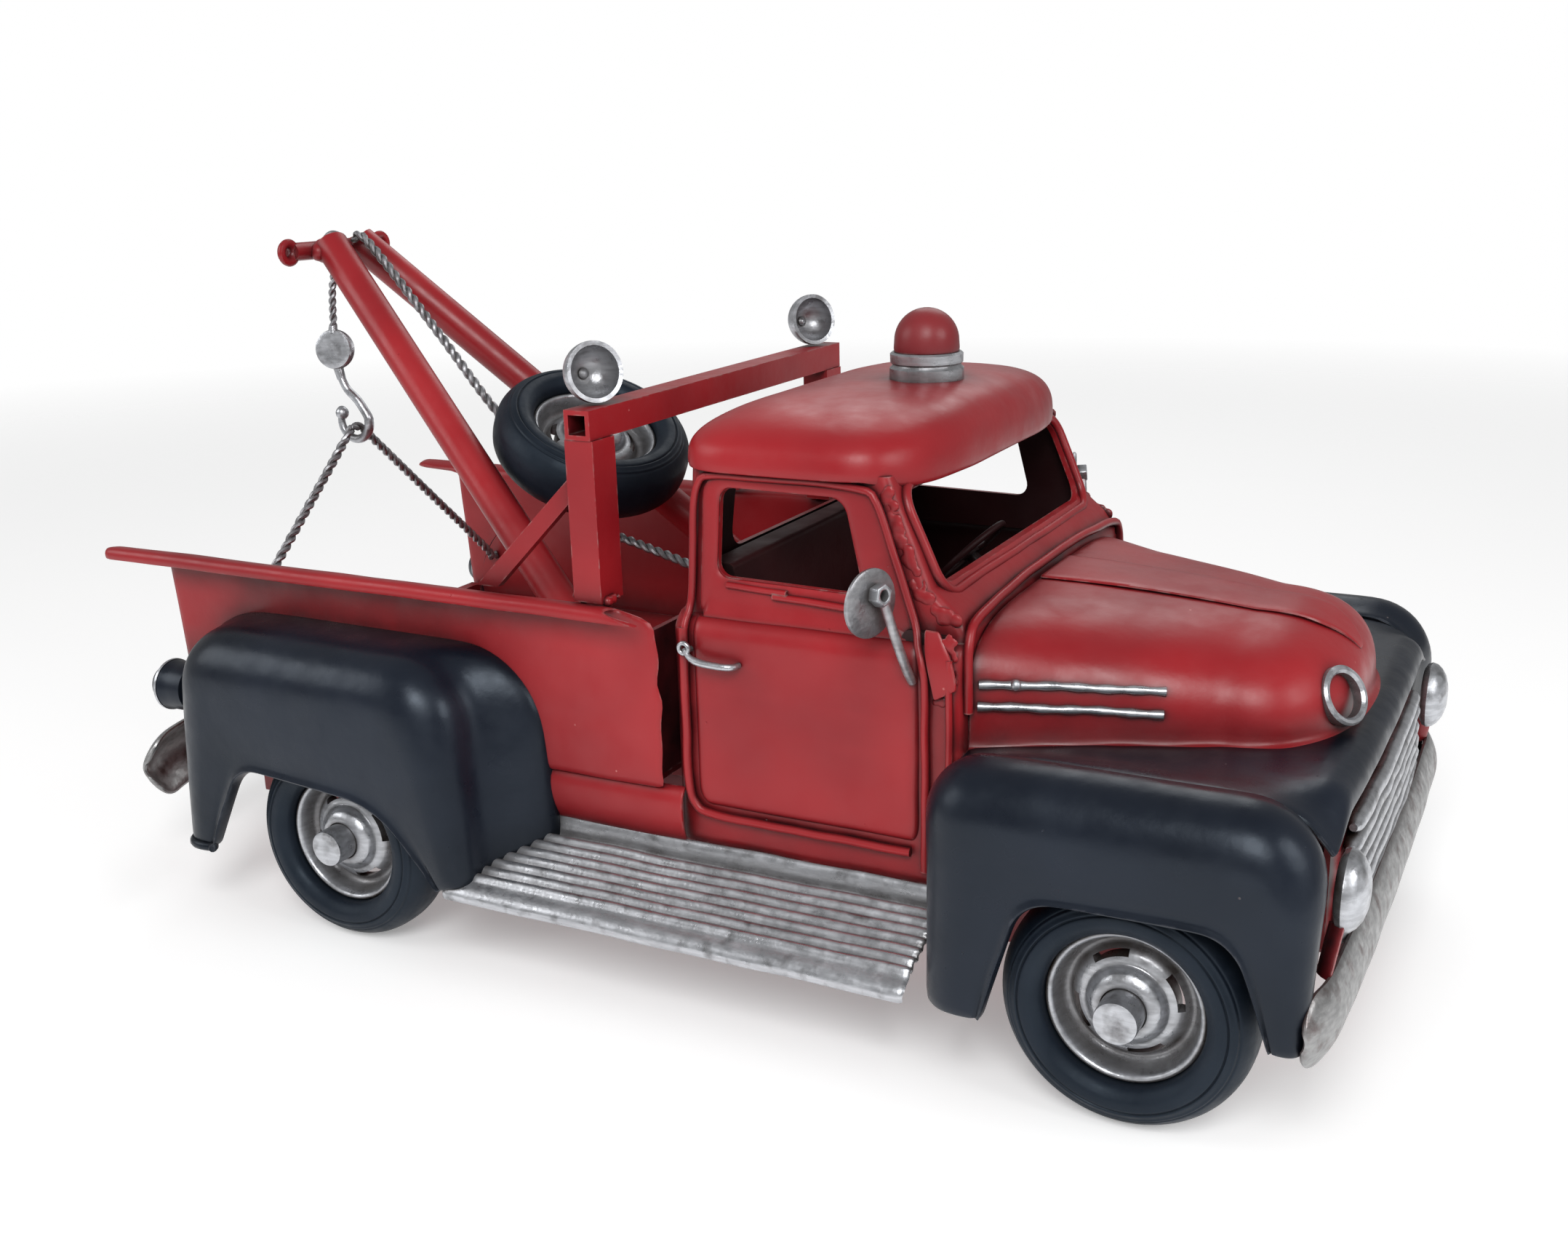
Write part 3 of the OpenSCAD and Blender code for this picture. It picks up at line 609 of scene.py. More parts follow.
def hub_rod(name, axle, body):
    """Axle rod with a turned chamfer and a faint centre dimple at each end."""
    profile = [(0, -HUB_Y + 0.25), (0.9, -HUB_Y + 0.2), (1.3, -HUB_Y + 0.02), (AXLE_R - 0.7, -HUB_Y),
               (AXLE_R - 0.15, -HUB_Y + 0.25), (AXLE_R, -HUB_Y + 0.9)]
    profile += [(r, -z) for r, z in reversed(profile)]
    rod = lathe(f"{name}_rod", profile, axis_frame(axle, (0, 1, 0)), SILVER, 64, closed=False)
    piece(rod, name, body=body)


def wheels():
    for end, axle in (("front", FRONT_AXLE), ("rear", REAR_AXLE)):
        for side, sign in (("right", RIGHT), ("left", LEFT)):
            middle = (axle[0], sign * TRACK, axle[2])
            wheel(f"{end}_{side}", axis_frame(middle, (0, sign, 0), 0.4 * sign), f"{end}_wheelset")
        hub_rod(f"{end}_axle", axle, f"{end}_wheelset")
    lean = Matrix.Rotation(radians(26.5), 4, "Y") @ Matrix.Rotation(radians(11.5), 4, "X")
    sag = np.array([-1.0, 0, -1.0])
    middle = centre("spare_tyre") + sag
    wheel("spare", Matrix.Translation(middle) @ lean, "truck")


# ---------- fenders ----------

def fender_rows(outer, inner, arch, inner_y, crown_r):
    """Grid of a pontoon fender: rows run from the wheel arch, round the crown, to the inner edge."""
    side_y = -FENDER_Y
    rows = []
    for o, i, a, n in zip(outer, inner, arch, normals_2d(outer)):
        bend = min(crown_r, 0.6 * (o - a) @ n)
        base = o - n * bend
        along = base - a
        reach = unit(along)
        lip = reach * min(1.0, np.linalg.norm(along) / 11)
        row = [(a, side_y + 3.4), (a + lip * 0.15, side_y + 1.6), (a + lip * 0.5, side_y),
               (a + lip * 1.3, side_y + 0.15), (a + lip * 2.2, side_y + 0.75)]
        for s in (0.25, 0.4, 0.55, 0.7, 0.85):
            row.append((a + along * s, side_y + 0.75 * (1 - s) ** 2))
        for k in range(7):
            t = radians(90 * k / 6)
            row.append((base + n * bend * sin(t), side_y + bend * (1 - cos(t))))
        start = side_y + bend
        for k in range(1, 6):
            s = k / 5
            row.append((o + (i - o) * s * s * (3 - 2 * s), start + (inner_y - start) * s))
        rows.append([np.array([p[0], y, p[1]]) for p, y in row])
    return rows


def front_fenders():
    front = high("front_fender_left")[0] + 0.7
    rear = low("front_fender_left")[0] + 0.6
    outer = outline([(rear + 1.2, 19, 0), (rear, 66.6, 11), (front, 66.6, 14), (front - 1.5, 25, 0)])
    inner = outline([(rear + 1.2, 19, 0), (rear, 64.6, 9), (front - 2, 64.6, 12), (front - 5, 25, 0)])
    arch = outline([(86.6, 19, 0), (94, 44.4, 9), (130.5, 44.4, 8.5), (137.5, 25, 0)])
    rows = fender_rows(outer, inner, arch, -58.6, 10)
    pair(sheet("front_fender_right_shell", rows, BLACK, seed=3), "front_fender_right")


def rear_fenders():
    outer = outline([(-111.5, 18.5, 0), (-112, 70.6, 15), (-34.5, 70, 17), (-28.5, 22, 0)])
    inner = outline([(-121, 18.5, 0), (-123, 70.8, 24), (-21.8, 70.2, 20), (-17.5, 25, 0)])
    arch = outline([(-102, 18.5, 0), (-91, 39.8, 9), (-52, 36.8, 22), (-37, 20, 0)])
    rows = fender_rows(outer, inner, arch, -BED_Y - 0.1, 11)
    pair(sheet("rear_fender_right_shell", rows, BLACK, seed=3), "rear_fender_right")
    edge = [p + np.array([0.3, 0.3, 0.2]) for p in rows[0][2:]]
    pair(tube("rear_fender_right_foot", spline(edge, 1.2), 1.1, BLACK, 10, amount=0.1, seed=5))


# ---------- hood and front ----------

NOSE_START = 118
NOSE_LENGTH = 21.5
NOSE_HALF = 34
NOSE_POWER = 2.6


def hood_half_width(x):
    return float(np.interp(x, [COWL_X, 82, 96, 110, NOSE_START], [48.6, 45.2, 40.2, 36.8, NOSE_HALF]))


def hood_floor(x):
    return 61.2 + (x - COWL_X) * 0.055


def hood_top(x):
    return 84.4 - 2.6 * max(0.0, (min(x, NOSE_START) - COWL_X) / (NOSE_START - COWL_X)) ** 2


def hood_power(x):
    return float(np.interp(x, [COWL_X, 88, NOSE_START, 141], [5.0, 3.6, 2.9, 2.5]))


def hood_point(px, py, t):
    """Point of the hood on the line from outline point (px, py) to the spine: t = 1 flange, 0 spine."""
    qx = min(px, NOSE_START)
    power = hood_power(px)
    s = sin(t * pi / 2) ** (2 / power)
    lift = cos(t * pi / 2) ** (2 / power)
    x, y = qx + (px - qx) * s, py * s
    floor, top = hood_floor(px), hood_top(qx)
    return np.array([x, y, floor + (top - floor) * lift])


def hood_height(x, y):
    """Height of the hood's skin over (x, y)."""
    if x <= NOSE_START:
        s = abs(y) / hood_half_width(x)
    else:
        part = abs(y) / NOSE_HALF, (x - NOSE_START) / NOSE_LENGTH
        s = (part[0] ** NOSE_POWER + part[1] ** NOSE_POWER) ** (1 / NOSE_POWER)
    power = hood_power(x)
    lift = max(0.0, 1 - min(s, 1) ** power) ** (1 / power)
    return hood_floor(x) + (hood_top(x) - hood_floor(x)) * lift


def hood_outline():
    side = [(x, -hood_half_width(x)) for x in np.linspace(COWL_X + 0.1, NOSE_START, 22)]
    nose = []
    for a in np.radians(np.linspace(-90, 90, 45))[1:-1]:
        c, s = max(0.0, cos(a)), sin(a)
        nose.append((NOSE_START + NOSE_LENGTH * c ** (2 / NOSE_POWER),
                     NOSE_HALF * copysign(abs(s) ** (2 / NOSE_POWER), s)))
    return side + nose + [(x, -y) for x, y in reversed(side)]


def hood():
    rows = []
    for px, py in hood_outline():
        qx = min(px, NOSE_START)
        away = unit(np.array([px - qx, py, 0]))
        row = [hood_point(px, py, t) for t in np.linspace(0.02, 1, 22)]
        foot = row[-1]
        row.append(foot + away * 0.5 + np.array([0, 0, -0.7]))
        row.append(foot + away * 1.5 + np.array([0, 0, -1.0 + 0.35 * sin(px * 0.45)]))
        rows.append([np.array([qx, 0, hood_top(qx)])] + row)
    piece(sheet("hood_skin", rows, RED, thickness=1.0, seed=4), "hood_shell")


def hood_panel():
    """Raised strip down the middle of the hood that wraps over the nose to a rounded tongue."""
    rows = []
    tip = NOSE_START + NOSE_LENGTH - 1.6
    for x in np.linspace(COWL_X + 0.6, tip - 0.1, 60):
        taper = min(1.0, sqrt(max(0.0, tip - x) / 7))
        half = (9.6 - 3.4 * (x - COWL_X) / 66) * taper + 0.2
        rows.append([np.array([x, y, hood_height(x, y) + 0.75]) for y in np.linspace(-half, half, 9)])
    piece(sheet("hood_centre_strip", rows, RED, thickness=0.9, amount=0.05, seed=6), "hood_centre_panel")


def badge():
    """Plain raised ring, set on the right-hand corner of the nose."""
    x, y = 136.6, -19.0
    facing = unit(np.array([0.80, -0.42, 0.43]))
    uphill = unit(np.cross(np.cross(facing, [0, 0, 1]), facing))
    spot = np.array([x, y, hood_height(x, y)]) - 1.3 * uphill + 0.4 * facing
    profile = [(4.2, -1.4), (5.7, -1.4), (5.8, 0.5), (5.4, 1.0), (4.8, 1.0), (4.3, 0.5)]
    piece(lathe("nose_badge_ring", profile, axis_frame(spot, facing), SILVER, 64), "nose_badge")


def trims():
    """Two strips on each side of the hood; the upper one carries a blob of solder."""
    made = []
    for number, z in enumerate((73.2, 69)):
        path = []
        for x in np.linspace(75.5, 108.2, 24):
            path.append((x, -hood_side(x, z) - 0.45, z - 0.02 * (x - 75)))
        radius = 0.85 + 0.12 * np.sin(np.arange(24) * 1.7 + number)
        made.append(tube(f"trim_{number}", path, radius, SILVER, 10, amount=0.25, seed=8 + number))
    made.append(blob("trim_lump", [(82, -hood_side(82, 73.2) - 0.8, 73.3, 1.15)], SILVER, 0.25))
    pair(join("hood_trim_right", made), "hood_trims")


def hood_side(x, z):
    """Half width of the hood's skin at height z."""
    lift = (z - hood_floor(x)) / (hood_top(x) - hood_floor(x))
    power = hood_power(x)
    return hood_half_width(x) * (1 - lift ** power) ** (1 / power)


GRILLE_RADIUS = 1500
GRILLE_CREST = high("grille_bars")[0]


def grille_x(y):
    return GRILLE_CREST - GRILLE_RADIUS + sqrt(GRILLE_RADIUS ** 2 - y * y)


def deck():
    """Black apron round the hood that rolls down over the top of the grille."""
    roll = 5
    outer = 58.9
    rows = []
    seam_x = [78, 82, 89, 105, 122, 132.6, 138.5, 142, 145]
    seam_z = [60.4, 62.8, 64.4, 64.4, 64.2, 63.4, 61.6, 57.6, 54]
    for y in np.linspace(-outer, outer, 57):
        front = grille_x(y) - 1.0
        side = max(0.0, (abs(y) - 46) / (outer - 46))
        dish = side * side * (3 - 2 * side)
        line = [(x, 60.7 + (x - COWL_X) * 0.048) for x in np.linspace(COWL_X + 0.2, front - roll, 24)]
        top = line[-1][1]
        for t in np.radians(np.linspace(16, 95, 6)):
            line.append((front - roll + roll * sin(t), top - roll * (1 - cos(t))))
        rows.append([np.array([x, y, z + (np.interp(x, seam_x, seam_z) - z) * dish]) for x, z in line])
    piece(sheet("front_deck_skin", rows, BLACK, seed=7), "front_deck")


def bars():
    """Bowed grille bars with ragged, unequal ends."""
    count, steps = 6, 60
    rng = random.Random(5)
    made = []
    for i in range(count):
        z = 34.6 + 3.7 * i
        reach = 46 - 1.6 * i
        ys = np.linspace(-reach - rng.uniform(0, 3), reach + rng.uniform(0, 3), steps)
        radius = 1.7 + 0.05 * np.sin(np.arange(steps) * 0.47 + i)
        radius[[0, -1]] *= 0.45
        radius[[1, -2]] *= 0.8
        path = [(grille_x(y) - 1.7, y, z + 0.25 * sin(y * 0.07 + i)) for y in ys]
        made.append(tube(f"bar_{i}", path, radius, SILVER, 12, amount=0.22, seed=20 + i))
    piece(join("grille_bar_set", made), "grille_bars")


def bumper(name, crest, radius, half, height, mid_z, bulge, turn_back, direction):
    """Pressed blade: bowed in plan, crowned in section, its ends rounded and turned back."""
    rows = []
    for y in np.linspace(-half, half, 72):
        run = min(1.0, (half - abs(y)) / 7)
        h = height * sqrt(max(0.06, 1 - (1 - run) ** 2))
        back = turn_back * max(0.0, (abs(y) - half + 14) / 14) ** 2
        line = crest - (radius - sqrt(radius ** 2 - y * y)) - back
        row = []
        for s in np.linspace(-1, 1, 13):
            x = line - bulge * (h / height) * s * s
            row.append(np.array([direction * x, y, mid_z + h * s]))
        rows.append(row)
    piece(sheet(f"{name}_blade", rows, BUMPER, thickness=1.3, seed=9, amount=0.3), name)


def headlights():
    """Almond lamp pods, each on a small red bracket."""
    spot = centre("headlights")
    x0 = low("headlights")[0]
    profile = [(0, 0), (5.9, 0), (7.0, 0.6), (7.4, 1.5), (7.1, 2.6), (6.2, 3.6), (4.8, 4.5),
               (2.8, 5.1), (0, 5.3)]
    y = low("headlights")[1] + 7.3
    place = axis_frame((x0, y, spot[2]), (1, 0, 0))
    pair(lathe("headlight_right", profile, place, SILVER, 64, closed=False), "headlights")
    path = [(x0 - 0.4, y - 6.4, 34.5), (x0 + 0.2, y - 6.0, 39), (x0 + 0.9, y - 4.4, 43.5)]
    pair(tube("headlight_bracket_right", spline(path, 0.8), 2.0, RED, 10, flatten=0.45, amount=0.4))


# ---------- cab ----------

SHOULDER_Z = 76.8
SHOULDER_TOP = 81.2
SHOULDER_IN = 3.1


def side_half(z):
    """Half width of the cab's side: flat below the belt, a rounded ledge, then a lean to the roof."""
    turn = min(1.0, max(0.0, (z - SHOULDER_Z) / (SHOULDER_TOP - SHOULDER_Z)))
    lean = max(0.0, z - SHOULDER_TOP) / (ROOF_Z - SHOULDER_TOP)
    return CAB_Y - SHOULDER_IN * (1 - sqrt(1 - turn ** 2)) - 1.5 * lean


def front_face(z):
    """x of the cowl and of the windscreen frame at height z."""
    heights = [SILL_Z, COWL_Z - 1, COWL_Z + 2.5, 89, ROOF_Z]
    return float(np.interp(z, heights, [COWL_X, COWL_X, 71.4, 66.8, 57]))


def rear_face(z):
    """x of the cab's back wall, which leans forward above the belt."""
    return float(np.interp(z, [SILL_Z, BELT_Z - 3, BELT_Z, BELT_Z + 2, ROOF_Z],
                           [CAB_REAR, CAB_REAR, CAB_REAR + 0.6, CAB_REAR + 1.6, 12.6]))


def cab_shell():
    """Cab walls lined with the dark interior colour as painted shade inside the cab, with the side windows,
    windscreen and rear window cut out.
    """
    levels = np.concatenate([np.linspace(SILL_Z, SHOULDER_Z, 10),
                             np.linspace(SHOULDER_Z + 0.6, SHOULDER_TOP, 9),
                             np.linspace(SHOULDER_TOP + 1.5, ROOF_Z + 0.6, 8)])
    loops = []
    for z in levels:
        w, f, r = side_half(z), front_face(z), rear_face(z)
        keys = [(r, -w, 4.5), (f, -w, 2.2), (f, w, 2.2), (r, w, 4.5)]
        loops.append([np.array([x, y, z]) for x, y in outline(keys, True, run=10)])
    columns = list(map(list, zip(*loops)))
    shell = sheet("cab_skin", columns, RED, close=True, levels=0, seed=11, amount=0.1, lining=INTERIOR_SHADE)
    window = outline(window_keys(), True, run=3)
    reach = 60
    across = Matrix.Translation((0, reach, 0)) @ Matrix.Rotation(pi / 2, 4, "X")
    side_cut = prism("side_cut", window, across, 2 * reach, RED)
    front = outline([(-42.4, 90.4, 4), (42.4, 90.4, 4), (43.4, 108, 4), (-43.4, 108, 4)], True, run=3)
    rear = outline([(-30, 90, 4), (30, 90, 4), (28, 105, 4), (-28, 105, 4)], True, run=3)
    along_x = Matrix(((0, 0, 1, 0), (1, 0, 0, 0), (0, 1, 0, 0), (0, 0, 0, 1)))
    screen_cut = prism("screen_cut", front, Matrix.Translation((52, 0, 0)) @ along_x, 30, RED)
    rear_cut = prism("rear_cut", rear, along_x, 24, RED)
    cut(shell, side_cut, screen_cut, rear_cut)
    piece(shell, "cab_shell")


def window_keys():
    """(x, z, radius) corners of the side window."""
    return [(20.0, 89.2, 2.8), (52.2, 88.6, 2.8), (47.8, 107, 4.2), (20.8, 107.2, 2.8)]


def roof():
    """Pillow roof: a rounded-rectangle plan under a domed top, with a visor that bows forward."""
    mid_x, half_x, half_y = 35.5, 26.2, 50.8
    visor_x, visor_reach = 52, 2.6
    dome = 3.0
    height = high("cab_roof")[2] - ROOF_Z
    pole = np.array([centre("beacon_collar")[0], 0])
    rows = []
    for a in np.radians(np.arange(0, 360, 3)):
        c, s = cos(a), sin(a)
        power = 4.4 if c > 0 else 6.0
        x = mid_x + half_x * copysign(abs(c) ** (2 / power), c)
        y = half_y * copysign(abs(s) ** (2 / power), s)
        visor = max(0.0, (x - visor_x) / (half_x + mid_x - visor_x))
        x += visor * visor_reach * cos(y / half_y * pi / 2)
        droop = -visor_reach * visor * (0.35 + 0.65 * (abs(y) / half_y) ** 2)
        edge = np.array([x, y])
        row = [np.array([*pole, ROOF_Z + height])]
        for t in np.linspace(0.04, 1, 18):
            k = sin(t * pi / 2) ** (2 / dome)
            lift = cos(t * pi / 2) ** (2 / dome)
            p = pole + (edge - pole) * k
            row.append(np.array([p[0], p[1], ROOF_Z + height * lift + droop * (1 - lift)]))
        inward = unit(np.array([*(pole - edge), 0]))
        row.append(row[-1] + inward * 0.5 + np.array([0, 0, -0.8]))
        rows.append(row)
    # The roof's inner face takes the dark interior colour, painted shade under the roof.
    piece(sheet("cab_roof_skin", rows, RED, close=True, seed=12, amount=0.3, lining=INTERIOR_SHADE), "cab_roof")


def door_frame_y(z):
    return -side_half(z) - 0.75


def doors():
    """Lower skin with rolled edges and upper window frame."""
    pair(door_skin(), "door_right")
    window = outline(window_keys(), True, 8, 9)
    low_z = SHOULDER_TOP - 0.3
    corners = [(15.9, low_z, 1.5), (64.0, low_z, 1.5), (55.0, 109.2, 5), (17.0, 109.6, 4)]
    edge = outline(corners, True, 8, 9)
    rows = []
    for w, e in zip(window, edge):
        row = []
        for s, out in ((0.0, -0.9), (0.04, 0.0), (0.35, 0.1), (0.7, 0.1), (1.0, 0.0)):
            p = w + (e - w) * s
            row.append(np.array([p[0], door_frame_y(p[1]) - out, p[1]]))
        rows.append(row)
    pair(sheet("door_right_window_frame", rows, RED, thickness=0.8, close=True, seed=14))


def door_skin():
    """Lower door skin: its edges turn in and its top rolls over into the ledge below the window."""
    rear, front, bottom = 15.4, 65.3, 40.6
    rims = np.array([0, 0.3, 0.9, 1.9, 3.2])
    corner_r = 4.0
    ledge = SHOULDER_Z + (SHOULDER_TOP - SHOULDER_Z) * np.sin(np.radians(range(12, 85, 12)))
    heights = np.concatenate([bottom + rims, np.linspace(bottom + 5, SHOULDER_Z, 14), ledge])
    rows = []
    for z in heights:
        below = max(0.0, bottom + corner_r - z)
        cut_in = corner_r - sqrt(corner_r ** 2 - below ** 2)
        start, end = rear + cut_in, front - 0.5 * cut_in
        row = []
        for x in np.concatenate([start + rims, np.linspace(start + 5, end - 5, 18), end - rims[::-1]]):
            edge = min(x - start, end - x, z - bottom)
            turned = 1.3 * max(0.0, 1 - edge / 1.4) ** 2
            row.append(np.array([x, -side_half(z) - 0.85 + turned, z]))
        rows.append(row)
    return sheet("door_right_skin", rows, RED, thickness=0.7, seed=15, amount=0.18)


def beads():
    """Round wires soldered along the cab's seams."""
    y = -CAB_Y - 1.0
    around = [(14.0, 60), (14.0, 76), (14.1, 80), (14.3, 84), (15.0, 100), (16.2, 107.8), (20, 109.7),
              (36, 110), (51, 109.4), (55, 107), (59.2, 96), (63.4, 85), (64.8, 80.5), (66.2, 77),
              (66.7, 70), (66.6, 35)]
    frame_edge = [(x, -side_half(z) - 1.0, z) for x, z in around]
    sill = [(13.8, y + 0.2, 79), (13.8, y, 62), (13.8, y, 46), (15.2, y, 41), (20, y, 39.2), (40, y, 38.9),
            (63.5, y, 38.7)]
    ledge = [(22.5, door_frame_y(88) - 0.2, 87.8), (36, door_frame_y(87) - 0.2, 87.4)]
    strip = [(33, door_frame_y(86.4) - 0.4, 86.6), (53, door_frame_y(86) - 0.4, 85.9)]
    cowl_side = [(71.4, y + 0.3, 79), (71.6, y + 0.1, 66), (71.4, y + 0.2, 40)]
    runs = [(frame_edge, BEAD_R, 0.25, 31), (sill, BEAD_R + 0.15, 0.25, 32), (ledge, 0.7, 0.15, 34),
            (strip, 0.75, 0.15, 35), (cowl_side, 0.7, 0.2, 36)]
    made = [tube("bead", spline(path, 1.2), radius, RED, 10, amount=amount, seed=seed)
            for path, radius, amount, seed in runs]
    pair(join("cab_bead_right", made), "cab_beads")
    cowl = [(74, -49.6, 68), (74.1, -49.8, 76), (74, -48.6, 82.2), (73.6, -43, 85), (72.9, -20, 86.2),
            (72.8, 0, 86.4)]
    cowl += [(x, -yy, z) for x, yy, z in reversed(cowl[:-1])]
    piece(tube("cowl_bead", spline(cowl, 1.5), 0.95, RED, 12, amount=0.2, seed=37))
    loop = outline([(-44.2, 88.8, 5), (44.2, 88.8, 5), (44.8, 109.3, 5), (-44.8, 109.3, 5)], True, 8, 12)
    ring = [(front_face(z) + 0.4, yy, z) for yy, z in loop]
    piece(tube("windscreen_bead", ring, 1.1, RED, 12, closed=True, amount=0.2, seed=38))


def solder():
    """Rough solder on the pillars, cowl corners and roots of the crane posts, and the cowl's two flaps."""
    rng = random.Random(11)
    spots = []
    for _ in range(70):
        z = rng.uniform(84.5, 109)
        x = front_face(z) - 2.2 + rng.uniform(-1.6, 1.4)
        spots.append((x, -side_half(z) + 0.2, z, rng.uniform(0.5, 1.5)))
    for _ in range(26):
        spots.append((rng.uniform(67.5, 72.6), -CAB_Y + 0.1, rng.uniform(70, 84), rng.uniform(0.5, 1.4)))
    pair(blob("cab_solder_right", spots, RED, 0.3, flat=(1, 0.4, 1)))
    y = -CAB_Y - 1.3
    rear_edge = spline([(66.0, y + 1.6, 84.6), (66.8, y, 79), (68.6, y, 70.5)], 1.5)
    front_edge = spline([(69.0, y + 1.6, 84.4), (72.6, y - 0.2, 77.5), (74.0, y - 0.1, 67)], 1.5)
    count = min(len(rear_edge), len(front_edge))
    rear_edge, front_edge = rear_edge[:count], front_edge[:count]
    rows = [list(rear_edge + (front_edge - rear_edge) * s) for s in np.linspace(0, 1, 6)]
    pair(sheet("cowl_flap_right", rows, RED, thickness=0.8, amount=0.35, seed=16))
    roots = []
    post_lo, post_hi = low("crane_posts"), high("crane_posts")
    for _ in range(22):
        x = rng.choice((post_lo[0], post_hi[0])) + rng.uniform(-0.5, 0.5)
        y = -rng.uniform(50.4, 55.6)
        roots.append((x, y, post_lo[2] + rng.uniform(-0.4, 0.8), rng.uniform(0.6, 1.2)))
    pair(blob("post_solder_right", roots, RED, 0.3))


def handles():
    """Curved door pulls on a short stem, with a ring at the rear end."""
    y = -CAB_Y - 3.2
    arm = [(15.4, y + 0.2, 74.8), (16.6, y - 0.2, 73.6), (19, y - 0.5, 72.9), (23.5, y - 0.5, 72.6),
           (26, y + 0.3, 72.5), (26.6, y + 2.2, 72.5)]
    path = spline(arm, 0.6)
    radius = np.interp(np.linspace(0, 1, len(path)), [0, 0.25, 0.8, 1], [0.55, 0.8, 0.75, 0.55])
    grip = tube("grip", path, radius, SILVER, 12, amount=0.1)
    ring_r, turns = 1.1, np.linspace(0, 2 * pi, 25)[:-1]
    ring = [(15.2 + ring_r * cos(a), y, 75.3 + ring_r * sin(a)) for a in turns]
    eye = tube("eye", ring, 0.5, SILVER, 10, closed=True)
    stem = tube("stem", [(15.4, y + 2.6, 74.6), (15.4, y + 1.2, 74.6), (15.4, y, 74.8)], 0.6, SILVER, 10)
    pair(join("door_handle_right", [grip, eye, stem]), "door_handles")


def mirrors():
    """Round steel disc held by a hexagon nut on a bent arm."""
    disc_x, disc_y, disc_z = 58.9, -60.4, 90.8
    profile = [(0, -0.45), (6.1, -0.5), (6.6, -0.25), (6.6, 0.25), (6.2, 0.5), (3, 0.42), (0, 0.4)]
    place = axis_frame((disc_x, disc_y, disc_z), (0.945, -0.326, 0))
    pair(lathe("mirror_disc_right", profile, place, STEEL_BRIGHT, 64, closed=False), "mirror_discs")
    nut_r = 2.25
    hexagon = [(nut_r * cos(a), nut_r * sin(a)) for a in np.radians(range(15, 375, 60))]
    place = axis_frame((disc_x + 1.0, -60, disc_z + 1.6), (1, -0.35, 0.1))
    nut = prism("mirror_nut_right", hexagon, place, 2.3, SILVER)
    hole = lathe("nut_hole", [(0, -2), (1.05, -2), (1.05, 4), (0, 4)], place, SILVER, 24, closed=False)
    cut(nut, hole)
    bevel(nut, 0.25)
    bake(nut)
    pair(nut, "mirror_nuts")
    arm = [(64.2, -CAB_Y - 0.9, 74), (63.6, -55.0, 77.5), (62.4, -57.8, 85), (61.4, -59.6, 91)]
    pair(tube("mirror_arm_right", spline(arm, 1), 0.95, WORN_ARM, 12, amount=0.15), "mirror_arms")


# ---------- running boards and bed ----------

def swept(name, section, spans, material, seed, ragged=0.0, **options):
    """Right-hand sheet bent to an (outward, z) section, whose points each have their own two ends in x."""
    rng = random.Random(seed)
    rows = []
    for (out, z), (rear, front) in zip(section, spans):
        front += rng.uniform(-ragged, ragged)
        xs = rear + (front - rear) * np.linspace(0, 1, 41)
        rows.append([np.array([x, RIGHT * out, z]) for x in xs])
    return sheet(name, rows, material, seed=seed, **options)


def running_boards():
    """Seven half-round ribs between a smooth outer lip and a groove along the sill."""
    ribs, steps = 7, 8
    outer, inner = np.array([72.6, 23.0]), np.array([56.6, 29.2])
    section = [(FENDER_Y - 0.9, 18.6), (FENDER_Y - 0.3, 19.4), (FENDER_Y - 0.2, 20.6),
               (FENDER_Y - 0.9, 21.6), (74.2, 22.3)]
    for i in range(ribs * steps + 1):
        base = outer + (inner - outer) * i / (ribs * steps)
        section.append((base[0], base[1] + 0.95 * abs(sin(pi * i / steps)) ** 0.8))
    section += [(56.0, 28.6), (55.6, 28.4), (55.2, 28.8), (54.8, 30.4), (54.4, 32.4), (53.6, 33.2)]
    front = high("running_board_left")[0]
    rears = np.interp([y for y, _ in section], [53, 55, 59.2, 73.4, 76], [-19, -19.6, -22.4, -35.5, -35.8])
    board = swept("running_board_right_tread", section, [(rear, front) for rear in rears], SILVER, 41,
                  ragged=0.25, thickness=1.0, amount=0.28)
    pair(board, "running_board_right")


def bed_sides():
    """Side sheet whose top folds out into a rail with a rounded, turned-down lip."""
    section = [(BED_Y, z) for z in np.linspace(43.5, RAIL_Z - 3.2, 12)]
    section += [(BED_Y + 0.15, RAIL_Z - 1.9), (BED_Y + 0.7, RAIL_Z - 1.0), (BED_Y + 1.8, RAIL_Z - 0.5),
                (BED_Y + 3.4, RAIL_Z - 0.15), (RAIL_Y - 1.5, RAIL_Z), (RAIL_Y - 0.5, RAIL_Z - 0.4),
                (RAIL_Y, RAIL_Z - 1.4), (RAIL_Y - 0.1, RAIL_Z - 2.6), (RAIL_Y - 0.5, RAIL_Z - 3.2)]
    spans = []
    for y, z in section:
        sweep = min(1.0, max(0.0, (z - RAIL_Z + 3.4) / 2.6))
        torn = BED_REAR - 0.9 - 0.08 * (z - 44) + 0.5 * sin(z * 1.9)
        rear = RAIL_REAR if z > RAIL_Z - 1.6 or y > RAIL_Y - 0.9 else torn
        front = BED_FRONT + 3.0 + 0.4 * sin(z * 1.3) + 0.3 * sin(z * 3.1) - 9.6 * sweep
        spans.append((rear, front))
    pair(swept("bed_side_right_sheet", section, spans, RED, 42, ragged=0.5, amount=0.22), "bed_side_right")


